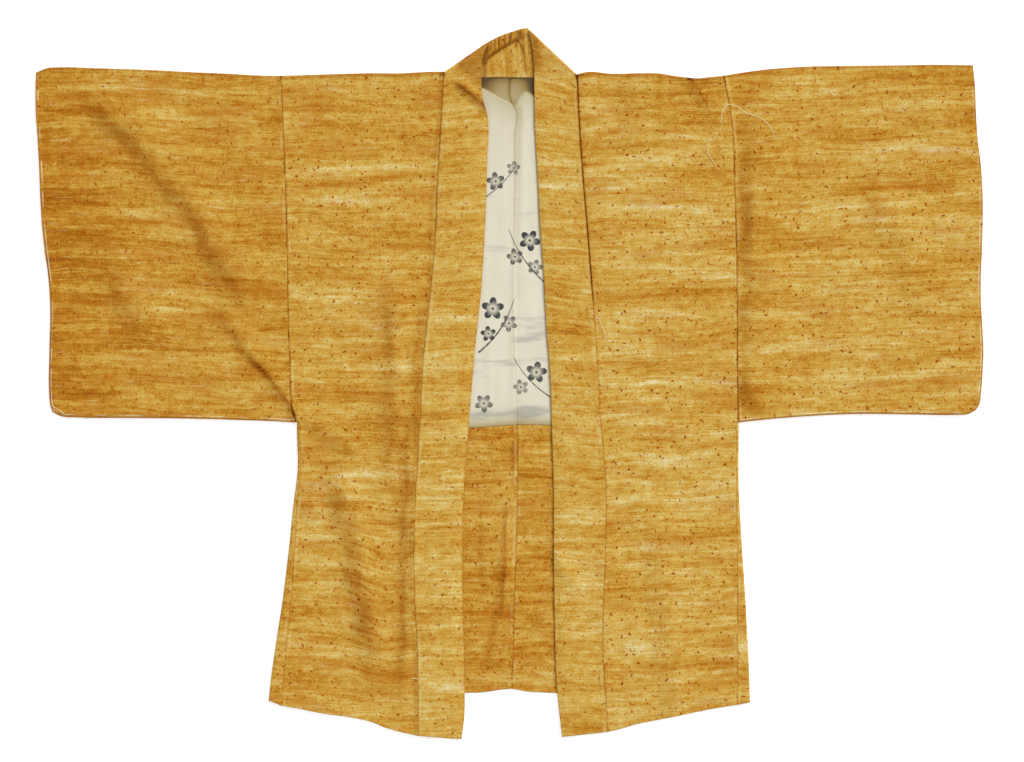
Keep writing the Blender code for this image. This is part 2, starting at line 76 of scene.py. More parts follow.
def curve(knots, values, at):
    # cubic Hermite curve through the rows of a table, with slopes from the rows beside each
    at = np.clip(at, knots[0], knots[-1])
    slopes = np.gradient(values, knots)
    k = np.clip(np.searchsorted(knots, at, side="right") - 1, 0, len(knots) - 2)
    span = knots[k + 1] - knots[k]
    t = (at - knots[k]) / span
    rise = values[k + 1] - values[k]
    bend = slopes[k] * span * t * (1 - t) ** 2 - slopes[k + 1] * span * t ** 2 * (1 - t)
    return values[k] + rise * t * t * (3 - 2 * t) + bend


def lineAt(edge, at):
    # the second column of an outline's table at each value of the first
    return curve(*edge.values(), np.asarray(at, dtype=float))


def between(start, end, share):
    # straight from start to end, for each share in turn
    share = np.asarray(share, dtype=float).reshape(-1, *([1] * np.ndim(start)))
    return (1 - share) * start + share * end


def crowded(width, count, near=(0.5, 1.1, 1.8, 2.6, 3.6, 5.0, 7.5), both=True):
    # shares from 0 to 1 of a width in mm, closer together near its edges
    near = np.array(near) / width
    first = near[-1] if both else 0.0
    middle = np.linspace(first, 1 - near[-1], count)
    head = [0, *near[:-1]] if both else []
    return np.concatenate([head, middle, 1 - near[-2::-1], [1]])


def triple(first, second, third):
    # three values side by side at each point, numbers spread over the grid
    return np.stack(np.broadcast_arrays(first, second, third), axis=-1)


def soft(value, low, high):
    # 0 at low, 1 at high: 3 t^2 - 2 t^3 of the share t of the way
    share = np.clip((value - low) / (high - low), 0, 1)
    return share * share * (3 - 2 * share)


def bell(distance, width):
    # exp(-(distance / width)^2)
    return np.exp(-(distance / width) ** 2)


def fade(distance, reach):
    # exp(-distance / reach)
    return np.exp(-distance / reach)


def shareOf(values):
    # 0 at the first value, 1 at the last
    return (values - values[0]) / (values[-1] - values[0])


def runLength(points):
    # length of the line so far at each of its points
    steps = np.linalg.norm(np.diff(points, axis=0), axis=1)
    return np.concatenate([[0], np.cumsum(steps)])


def placed(x, drop, height):
    # jacket mm to world metres
    return np.stack([x + layout["centreX"], layout["shoulderY"] - drop, height], axis=-1) * mm


def ripple(x, drop, seed, size, count=14):
    # sum of sines over the plane with seeded directions, wavelengths near size mm and phases
    chance = np.random.default_rng(seed)
    total = np.zeros_like(x)
    for _ in range(count):
        turn, phase = chance.uniform(0, 2 * math.pi, 2)
        wave = 2 * math.pi / (size * chance.uniform(0.6, 1.8))
        total += np.sin((x * math.cos(turn) + drop * math.sin(turn)) * wave + phase)
    return total / math.sqrt(count / 2)


def foldHeight(folds, x, drop):
    # sum over folds of height (1 - (d / width)^2)^2, d being the distance across the fold,
    # which bows sideways, wanders, swells and sinks along its length and runs out at its ends
    lift = np.zeros_like(x)
    wander = ripple(x, drop, 31, 60)
    swell = 1 + 0.12 * ripple(x, drop, 32, 90)
    for x0, drop0, x1, drop1, bow, widthA, widthB, height in zip(*folds.values()):
        length = math.hypot(x1 - x0, drop1 - drop0)
        ex, ed = (x1 - x0) / length, (drop1 - drop0) / length
        along = ((x - x0) * ex + (drop - drop0) * ed) / length
        ends = np.clip(4 * along * (1 - along), 0, 1)
        across = (x - x0) * ed - (drop - drop0) * ex - bow * ends + 0.10 * widthA * wander
        width = np.where(across < 0, widthA, widthB)
        bump = np.clip(1 - (across / width) ** 2, 0, 1) ** 2
        lift += height * swell * bump * np.minimum(1, 2 * ends)
    return lift


def pucker(along, distance, seed, reach=7.0):
    # waves along a seam that die away from it: sines of along times exp(-distance / reach)
    chance = np.random.default_rng(seed)
    total = np.zeros_like(along)
    for size in (9.0, 13.0, 21.0, 34.0):
        total += np.sin(along * 2 * math.pi / size + chance.uniform(0, 6.3))
    return total / 2 * fade(distance, reach)


def seamDip(distance, depth, ridge, at=2.4, width=1.4):
    # ridge beside a seam and the drop into it: two bell curves of the distance
    return ridge * bell(distance - at, width) - depth * bell(distance, 0.9)


def bendRows(start, end, outward, steps, radius):
    # half an ellipse from one layer's edge to the edge of the layer under it
    middle, rise = (start + end) / 2, (start[:, 2:] - end[:, 2:]) / 2
    rows = []
    for step in range(1, steps):
        angle = math.pi * step / steps
        row = middle + outward * radius * mm * math.sin(angle)
        row[:, 2:] += rise * math.cos(angle)
        rows.append(row)
    return np.array(rows)


def level(x):
    # a weft that doesn't rise
    return 0 * x


def bandLift(bands, x, drop, rise=level):
    # sum of soft ellipses: strength exp(-((x - x0) / long)^2 - ((drop - drop0) / high)^2),
    # with drop counted along a weft that rises by rise(x)
    total = np.zeros_like(x)
    for x0, drop0, long, high, strength in bands:
        down = drop + rise(x) - drop0 - rise(x0)
        total += strength * np.exp(-((x - x0) / long) ** 2 - (down / high) ** 2)
    return total


def gridQuads(rows, columns, flip):
    # the corners of each cell of a grid of points, the other way round where flip is set
    index = np.arange(rows * columns).reshape(rows, columns)
    quads = np.stack([index[:-1, :-1], index[:-1, 1:], index[1:, 1:], index[1:, :-1]], axis=-1)
    return quads[..., ::-1] if flip else quads


def patch(points, weave, marks, flip):
    # a grid of points with its attributes and its cells
    return points, weave, marks, gridQuads(*points.shape[:2], flip)


def tuckUnder(edge, weave, marks, way, flip, fall=0.3):
    # a strip from an edge, going a step the way given and fall mm down, twice, but no lower
    # than the back
    steps, wide = np.arange(3)[None, :, None], layout["tuckStep"]
    points = edge[:, None] + steps * np.array([way[0] * wide, way[1] * wide, -fall]) * mm
    points[..., 2] = np.maximum(points[..., 2], layout["back"] * mm)
    weave, marks = (np.repeat(values[:, None], 3, axis=1) for values in (weave, marks))
    return patch(points, weave, marks, flip)


def linked(name, data):
    # an object at the origin, in the scene
    made = bpy.data.objects.new(name, data)
    bpy.context.scene.collection.objects.link(made)
    return made


def addPiece(name, patches, materials, wall=None, weld=False):
    # one mesh of grids; each is (points, weave, marks, quads): world metres, place on the
    # bolt of cloth in metres with the streak, and mm from seam and edge with the shade
    points, weave, marks, quads, first = [], [], [], [], 0
    for patchPoints, patchWeave, patchMarks, patchQuads in patches:
        points.append(patchPoints.reshape(-1, 3))
        weave.append(patchWeave.reshape(-1, 3))
        marks.append(patchMarks.reshape(-1, 3))
        quads.append(patchQuads.reshape(-1, 4) + first)
        first += len(points[-1])
    points, weave, marks = np.concatenate(points), np.concatenate(weave), np.concatenate(marks)
    quads = np.concatenate(quads)
    used, quads = np.unique(quads, return_inverse=True)
    quads = quads.reshape(-1, 4)
    mesh = bpy.data.meshes.new(name)
    mesh.from_pydata(points[used].tolist(), [], quads.tolist())
    for label, values in (("weave", weave[used]), ("marks", marks[used])):
        made = mesh.attributes.new(label, "FLOAT_VECTOR", "POINT")
        made.data.foreach_set("vector", values.astype(np.float32).ravel())
    if weld:
        shape = bmesh.new()
        shape.from_mesh(mesh)
        bmesh.ops.remove_doubles(shape, verts=shape.verts, dist=0.02 * mm)
        shape.to_mesh(mesh)
        shape.free()
    mesh.shade_smooth()
    for material in materials:
        mesh.materials.append(material)
    piece = linked(name, mesh)
    if wall:
        solid = piece.modifiers.new("wall", "SOLIDIFY")
        solid.thickness, solid.offset = wall * mm, 0
        solid.material_offset = len(materials) - 1
    return piece


class Shade:
    # wraps one socket of a material, so that maths on it adds the nodes
    def __init__(self, tree, socket):
        self.tree, self.socket = tree, socket

    def node(self, kind, settings=None, sockets=None, output=0):
        made = self.tree.nodes.new("ShaderNode" + kind)
        for name, value in (settings or {}).items():
            if name == "stops":
                ramp = made.color_ramp
                while len(ramp.elements) < len(value):
                    ramp.elements.new(0.5)
                for element, (place, colour) in zip(ramp.elements, value):
                    element.position, element.color = place, colour
            else:
                setattr(made, name, value)
        for name, value in (sockets or {}).items():
            if isinstance(value, Shade):
                self.tree.links.new(value.socket, made.inputs[name])
            else:
                made.inputs[name].default_value = value
        return Shade(self.tree, made.outputs[output])

    def beside(self, output):
        return Shade(self.tree, self.socket.node.outputs[output])

    def parts(self):
        # x and y of a vector
        x = self.node("SeparateXYZ", None, {0: self})
        return x, x.beside(1)

    def maths(self, operation, *values):
        return self.node("Math", {"operation": operation}, dict(enumerate(values)))

    def __add__(self, other): return self.maths("ADD", self, other)
    def __radd__(self, other): return self.maths("ADD", other, self)
    def __sub__(self, other): return self.maths("SUBTRACT", self, other)
    def __rsub__(self, other): return self.maths("SUBTRACT", other, self)
    def __mul__(self, other): return self.maths("MULTIPLY", self, other)
    def __rmul__(self, other): return self.maths("MULTIPLY", other, self)
    def __abs__(self): return self.maths("ABSOLUTE", self)

    def ease(self, low, high):
        # 0 at low, 1 at high, smooth between; low may be the larger
        return self.node("MapRange", {"interpolation_type": "SMOOTHSTEP"},
                         {0: self, 1: low, 2: high, 3: 0.0, 4: 1.0})

    def scaled(self, by, shift=(0.0, 0.0, 0.0)):
        return self.node("VectorMath", {"operation": "MULTIPLY_ADD"}, {0: self, 1: by, 2: shift})

    def noise(self, detail=2.0, rough=0.5):
        return self.node("TexNoise", {"noise_dimensions": "2D"},
                         {"Vector": self, "Scale": 1.0, "Detail": detail, "Roughness": rough})

    def clouds(self, along, across, detail=2.0, rough=0.5, shift=(0.0, 0.0)):
        # noise whose spots are along by across metres large
        return self.scaled((1 / along, 1 / across, 0.0), (*shift, 0.0)).noise(detail, rough)

    def mixed(self, colour, other, blend="MIX"):
        # this value is the share of other over colour
        return self.node("Mix", {"data_type": "RGBA", "blend_type": blend},
                         {0: self, 6: colour, 7: other}, 2)

    def feed(self, surface, name):
        self.tree.links.new(self.socket, surface.inputs[name])


roomLight = 1.12  # brightness of a white sheet lying under the studio's lights


def seen(red, green, blue):
    # base colour of what looks like this screen colour, 0 to 255, under the studio's lights
    parts = np.array([red, green, blue]) / 255
    linear = np.where(parts < 0.04045, parts / 12.92, ((parts + 0.055) / 1.055) ** 2.4)
    return (*(linear / roomLight).tolist(), 1.0)


def newMaterial(name, roughness, settings):
    # a material, its shader with the sockets that are the same all over, and a start for nodes
    material = bpy.data.materials.new(name)
    material.use_nodes = True
    surface = material.node_tree.nodes["Principled BSDF"]
    surface.inputs["Roughness"].default_value = roughness
    for socket, value in settings.items():
        surface.inputs[socket].default_value = value
    return material, surface, Shade(material.node_tree, None)


# The ochre cloth: streaks of uneven dye and slub across the width, and short curled flecks.
# Lengths are in metres, first along the weft and then across it.
clothLook = {
    "stops": [
        (0.00, seen(152, 84, 10)), (0.26, seen(179, 116, 27)), (0.42, seen(197, 145, 51)),
        (0.57, seen(207, 165, 73)), (0.70, seen(215, 182, 98)), (0.84, seen(222, 201, 132)),
        (1.00, seen(233, 222, 180))],
    "rust": seen(184, 110, 26), "fleck": seen(144, 58, 0), "rustFleck": seen(180, 86, 0),
    # pale colours the cloth's own pale streaks and also the painted highlight beside seams
    "pale": seen(231, 214, 148), "edge": seen(170, 100, 12), "piping": seen(240, 229, 192),
    "shadeStops": [
        (0.00, (1, 1, 1, 1)), (0.25, (0.88, 0.80, 0.70, 1)), (0.50, (0.72, 0.56, 0.38, 1)),
        (0.75, (0.48, 0.32, 0.18, 1)), (1.00, (0.22, 0.12, 0.05, 1))],
    "gloss": (1.0, 0.72, 0.30, 1.0), "roughness": 0.85, "bump": 0.00014,
    # how the weft wanders: size of the noise and how far it carries the threads
    "drift": (0.14, 0.05), "driftHeight": 0.014,
    # noises whose sum is the tone: size, octaves, roughness, share of the tone and of the bump
    "tones": {
        "broad": (0.15, 0.024, 3, 0.5, 0.57, 0.0), "middle": (0.13, 0.006, 3, 0.6, 0.55, 0.4),
        "fine": (0.05, 0.0021, 2, 0.6, 0.42, 0.7), "mottle": (0.013, 0.0085, 3, 0.6, 0.54, 0.3),
        "grain": (0.0026, 0.0017, 1, 0.5, 0.44, 0.4)},
    # noises of the pale spots, the rust and the slub: size, octaves, roughness and place
    "spots": (0.05, 0.0065, 3, 0.6, (5.1, 3.3)), "warm": (0.09, 0.022, 4, 0.5, (7.3, 1.9)),
    "slub": (0.0065, 0.0016, 1, 0.5, (1.7, 8.9)), "lineBreaks": (0.03, 0.03, 4.0),
    # washes over the tone: where in their noise they start and are full, and their strength
    "rustWash": (0.50, 0.78, 0.45), "paleWash": (0.62, 0.86, 0.5), "slubWash": (0.70, 0.84, 0.36),
    # pale lines, a painted highlight on the ridge beside a seam and the piping beside a piped
    # edge: mm from the seam or edge, how far off they are gone and full, where in the noise of
    # the breaks they start and are full, and their strength
    "seamHighlight": (3.2, 2.2, 0.6, 0.48, 0.68, 0.26), "pipingLine": (3.6, 1.0, 0.3, 0.40, 0.62, 0.62),
    # the dark rim, painted shade where the cloth rolls over at an edge: mm from the edge where
    # it is gone and full, its strength, and on piped cloth
    "rim": (2.0, 0.6), "rimStrength": 0.26, "pipedRim": 0.5,
    # the noise that bends the flecks, and how far
    "shake": (0.0022, 0.0022), "shakeReach": (0.0030, 0.0030, 0),
    # flecks: place, size of the cells, length, width and curl, how often, and strength
    "flecks": {
        "big": ((0, 0), 0.0132, (0.0020, 0.00108, 1.9), (0.12, 0.60), 0.95),
        "small": ((3.1, 5.7), 0.0080, (0.0012, 0.0008, 0.8), (0.20, 0.75), 0.85),
        "dots": ((9.4, 2.2), 0.0054, (0.0006, 0.0006, 0.2), (0.40, 0.90), 0.70)},
}


def flecksOn(place, cell, length, width, curl):
    # one curved stroke in each Voronoi cell: |y + curl x^2| < width where |x| < length,
    # in the cell's own turned axes, with a random number for each cell beside it
    scaled = place.scaled((1 / cell, 1 / cell, 0.0))
    found = place.node("TexVoronoi", {"voronoi_dimensions": "2D", "feature": "F1"},
                       {"Vector": scaled, "Scale": 1.0, "Randomness": 1.0}, "Position")
    first = place.node("SeparateColor", None, {0: found.beside("Color")})
    second, third = first.beside(1), first.beside(2)
    local = place.node("VectorMath", {"operation": "SUBTRACT"}, {0: scaled, 1: found})
    turned = place.node("VectorRotate", {"rotation_type": "Z_AXIS"},
                        {"Vector": local, "Angle": first * 6.283})
    x, y = turned.parts()
    length, width = length / cell, width / cell
    off = abs(y + x * x * ((second - 0.5) * (2 * curl)))
    inside = ((0.55 + second * 0.6) * width - off).ease(-0.35 * width, 0.45 * width)
    reach = (0.35 + third * 0.9) * length
    return inside * (reach - abs(x)).ease(-0.1 * length, 0.3 * length), third


def clothNodes(name, look, settings):
    # reads a piece's weave, its place on the bolt and the streak, and its marks, mm from the
    # seam and from the edge and the shade
    material, surface, sheet = newMaterial(name, look["roughness"], settings)
    weave = sheet.node("Attribute", {"attribute_name": "weave"}, None, "Vector")
    marks = sheet.node("Attribute", {"attribute_name": "marks"}, None, "Vector")
    return material, surface, weave, marks.node("SeparateXYZ", None, {0: marks})


def finishCloth(surface, look, colour, shade, height):
    # colour times the ramp of the shade, and a bump from the height of the threads
    tint = colour.node("ValToRGB", {"stops": look["shadeStops"]}, {0: shade})
    shaded = colour.node("Mix", {"data_type": "RGBA", "blend_type": "MULTIPLY"},
                         {0: 1.0, 6: colour, 7: tint}, 2)
    shaded.feed(surface, "Base Color")
    relief = {"Strength": 1.0, "Distance": look["bump"], "Height": height}
    colour.node("Bump", None, relief).feed(surface, "Normal")


def brokenPaleLine(distance, lineBreaks, at, gone, full, bare, whole, strength):
    # a soft pale line beside a seam or an edge, broken where the noise of the breaks is low
    return abs(distance - at).ease(gone, full) * lineBreaks.ease(bare, whole) * strength


def ochreCloth(name, seed, tone=0.0, rust=0.0, flecks=1.0, piped=False):
    # a ramp of colours over the sum of the tones and the streak, then rust, pale slub, flecks,
    # a painted highlight beside seams, a dark rim of painted shade at the edges, and on a piped
    # cloth a pale line beside the edge
    material, surface, weave, seam = clothNodes(name, clothLook, {
        "Specular IOR Level": 0.12, "Specular Tint": clothLook["gloss"],
        "Sheen Weight": 0.05, "Sheen Roughness": 0.5, "Sheen Tint": clothLook["gloss"]})
    streak = weave.node("SeparateXYZ", None, {0: weave}, 2)
    edge, shade = seam.beside(1), seam.beside(2)
    place = weave.scaled((1.0, 1.0, 0.0), (seed * 1.37, seed * 2.71, 0.0))
    drift = place.clouds(*clothLook["drift"]) - 0.5
    bent = place.node("CombineXYZ", None, {0: 0.0, 1: drift * clothLook["driftHeight"]})
    bent = place.node("VectorMath", {"operation": "ADD"}, {0: place, 1: bent})

    level, height = 0.5 + tone, None
    for word, (along, across, detail, rough, share, relief) in clothLook["tones"].items():
        part = (place if word == "grain" else bent).clouds(along, across, detail, rough) - 0.5
        level = part * share + level
        height = part * relief if height is None else height + part * relief
    spots = bent.clouds(*clothLook["spots"])
    level = level + streak * (0.55 + spots * 1.5)
    colour = weave.node("ValToRGB", {"stops": clothLook["stops"]}, {0: level})
    warm, slub = bent.clouds(*clothLook["warm"]), bent.clouds(*clothLook["slub"])
    for noise, wash, hue, ahead in ((warm, "rustWash", "rust", rust), (spots, "paleWash", "pale", 0),
                                    (slub, "slubWash", "pale", 0)):
        start, full, strength = clothLook[wash]
        washed = noise.ease(start - ahead, full - ahead) * strength
        colour = washed.mixed(colour, clothLook[hue])

    shake = place.clouds(*clothLook["shake"]).beside("Color")
    shaken = place.node("VectorMath", {"operation": "MULTIPLY_ADD"},
                        {0: shake, 1: clothLook["shakeReach"], 2: place})
    for word, (shift, cell, shape, often, strength) in clothLook["flecks"].items():
        fleck, chance = flecksOn(shaken.scaled((1, 1, 0), (*shift, 0)), cell, *shape)
        brown = clothLook["rustFleck"]
        if word == "big":
            brown = chance.ease(0.56, 0.92).mixed(brown, clothLook["fleck"])
        colour = (fleck * chance.ease(*often) * (strength * flecks)).mixed(colour, brown)

    lineBreaks = place.clouds(*clothLook["lineBreaks"])
    # painted highlight: a pale line on the pressed ridge beside each seam
    colour = brokenPaleLine(seam, lineBreaks, *clothLook["seamHighlight"]).mixed(colour, clothLook["pale"])
    # painted shade: a dark rim along the edges, where the cloth rolls over
    rim = edge.ease(*clothLook["rim"]) * clothLook["pipedRim" if piped else "rimStrength"]
    colour = rim.mixed(colour, clothLook["edge"])
    if piped:
        line = brokenPaleLine(edge, lineBreaks, *clothLook["pipingLine"])
        colour = line.mixed(colour, clothLook["piping"])
    finishCloth(surface, clothLook, colour, shade, height)
    return material


# The cream silk of the lining, with plum blossoms, twigs and mist in grey ink.
silkLook = {
    "cream": seen(229, 222, 200),
    "shadeStops": [
        (0, (1, 1, 1, 1)), (0.2, (0.87, 0.86, 0.79, 1)), (0.45, (0.67, 0.61, 0.43, 1)),
        (0.72, (0.43, 0.31, 0.12, 1)), (1, (0.13, 0.08, 0.03, 1))],
    "grey": (0.86, 0.85, 0.78, 1), "ink": seen(58, 60, 62), "wash": seen(150, 150, 148),
    "roughness": 0.5, "bump": 0.00008,
    # x and drop of each blossom's middle in mm, its reach, its turn and how dark it is
    "blossoms": table(
        "x drop size turn dark", (-22, 146, 13, 0.4, 0.75), (2, 128, 10, 1.1, 0.55),
        (24, 226, 15, 2, 0.9), (4, 248, 12, 0.2, 0.7), (31, 262, 11, 1.5, 0.6),
        (-26, 318, 16, 0.9, 0.85), (-4, 338, 12, 2.6, 0.6), (-32, 352, 11, 0.5, 0.9),
        (33, 404, 15, 1.2, 0.8), (12, 424, 11, 0.1, 0.55), (-38, 446, 13, 2.2, 0.65)),
    # a twig's two ends, its bow and half its thickness
    "twigs": table(
        "x0 drop0 x1 drop1 bow thick", (-44, 172, 10, 116, 6, 0.8), (48, 286, -6, 206, -7, 1),
        (-46, 378, 4, 300, 8, 1.2), (56, 440, 0, 380, -6, 0.9)),
}


def strongest(marks):
    # the greatest of several values at each point
    return functools.reduce(lambda first, second: first.maths("MAXIMUM", first, second), marks)


def blossomsOn(plan, brush):
    # a blossom's rim lies at size (0.5 + 0.5 |sin(2.5 turn)|) from its middle, pale inside
    flowers = []
    for x0, drop0, size, turn, dark in zip(*silkLook["blossoms"].values()):
        x, y = plan.scaled((1.0, 1.0, 0.0), (-x0, drop0, 0.0)).parts()
        reach = plan.maths("SQRT", x * x + y * y)
        around = plan.maths("ARCTAN2", y, x) * 2.5 + turn
        rim = (abs(plan.maths("SINE", around)) * 0.5 + 0.5) * size
        petals = (rim - reach).ease(0.0, 0.9) * (reach * (1 / size)).ease(0.02, 0.75)
        heart = reach.ease(0.17 * size, 0.10 * size) * 0.9
        flowers += [petals * (brush * 0.5 + (dark - 0.1)), heart]
    return strongest(flowers)


def twigsOn(plan, brush):
    # a parabola between two ends: |across - bow 4 t (1 - t)| < thick where 0 < t < 1
    twigs = []
    for x0, drop0, x1, drop1, bow, thick in zip(*silkLook["twigs"].values()):
        length = math.hypot(x1 - x0, drop1 - drop0)
        ex, ey = (x1 - x0) / length, (drop0 - drop1) / length
        x, y = plan.scaled((1.0, 1.0, 0.0), (-x0, drop0, 0.0)).parts()
        along = (x * ex + y * ey) * (1 / length)
        across = abs(x * ey - y * ex - along * (1 - along) * (4 * bow))
        inside = along.ease(0.0, 0.02) * along.ease(1.0, 0.9)
        twigs.append((thick * (1.3 - along * 0.8) - across).ease(-0.3, 0.4) * inside * (brush + 0.3))
    return strongest(twigs)


def creamSilk(name, painted=True):
    # fine threads and long soft clouds, with mist, twigs and blossoms over them where painted
    material, surface, weave, seam = clothNodes(name, silkLook, {
        "Specular IOR Level": 0.25, "Sheen Weight": 0.08, "Sheen Roughness": 0.4})
    place = weave.scaled((1.0, 1.0, 0.0))
    threads, cloud = place.clouds(0.02, 0.0012), place.clouds(0.012, 0.11)
    greyed = threads * 0.18 + cloud.ease(0.3, 0.8) * 0.28
    colour = greyed.mixed(silkLook["cream"], silkLook["grey"], "MULTIPLY")
    if painted:
        plan = place.scaled((1000.0, 1000.0, 0.0))
        brush = place.clouds(0.0035, 0.006, 3.0)
        mist = place.clouds(0.10, 0.022, 3.0, shift=(2.2, 4.4)).ease(0.56, 0.76)
        low = plan.parts()[1].ease(-115.0, -150.0)
        colour = (mist * low * 0.55).mixed(colour, silkLook["wash"])
        colour = twigsOn(plan, brush).mixed(colour, silkLook["ink"])
        colour = blossomsOn(plan, brush).mixed(colour, silkLook["ink"])
    finishCloth(surface, silkLook, colour, seam.beside(2), threads)
    return material


print("materials")
cloths = {
    "bodyright": ochreCloth("ochreBodyRight", 1, 0.0, 0.02),
    "bodyleft": ochreCloth("ochreBodyLeft", 2, 0.05, 0.0),
    "sleeveright": ochreCloth("ochreSleeveRight", 3, -0.05, 0.05, 0.80, piped=True),
    "sleeveleft": ochreCloth("ochreSleeveLeft", 4, 0.02, 0.0, piped=True),
    "collar": ochreCloth("ochreCollar", 5, 0.06, -0.05, 0.78),
    "facing": ochreCloth("ochreFacing", 6, -0.06, 0.04),
}
silk = creamSilk("creamSilk")
plainSilk = creamSilk("plainSilk", False)


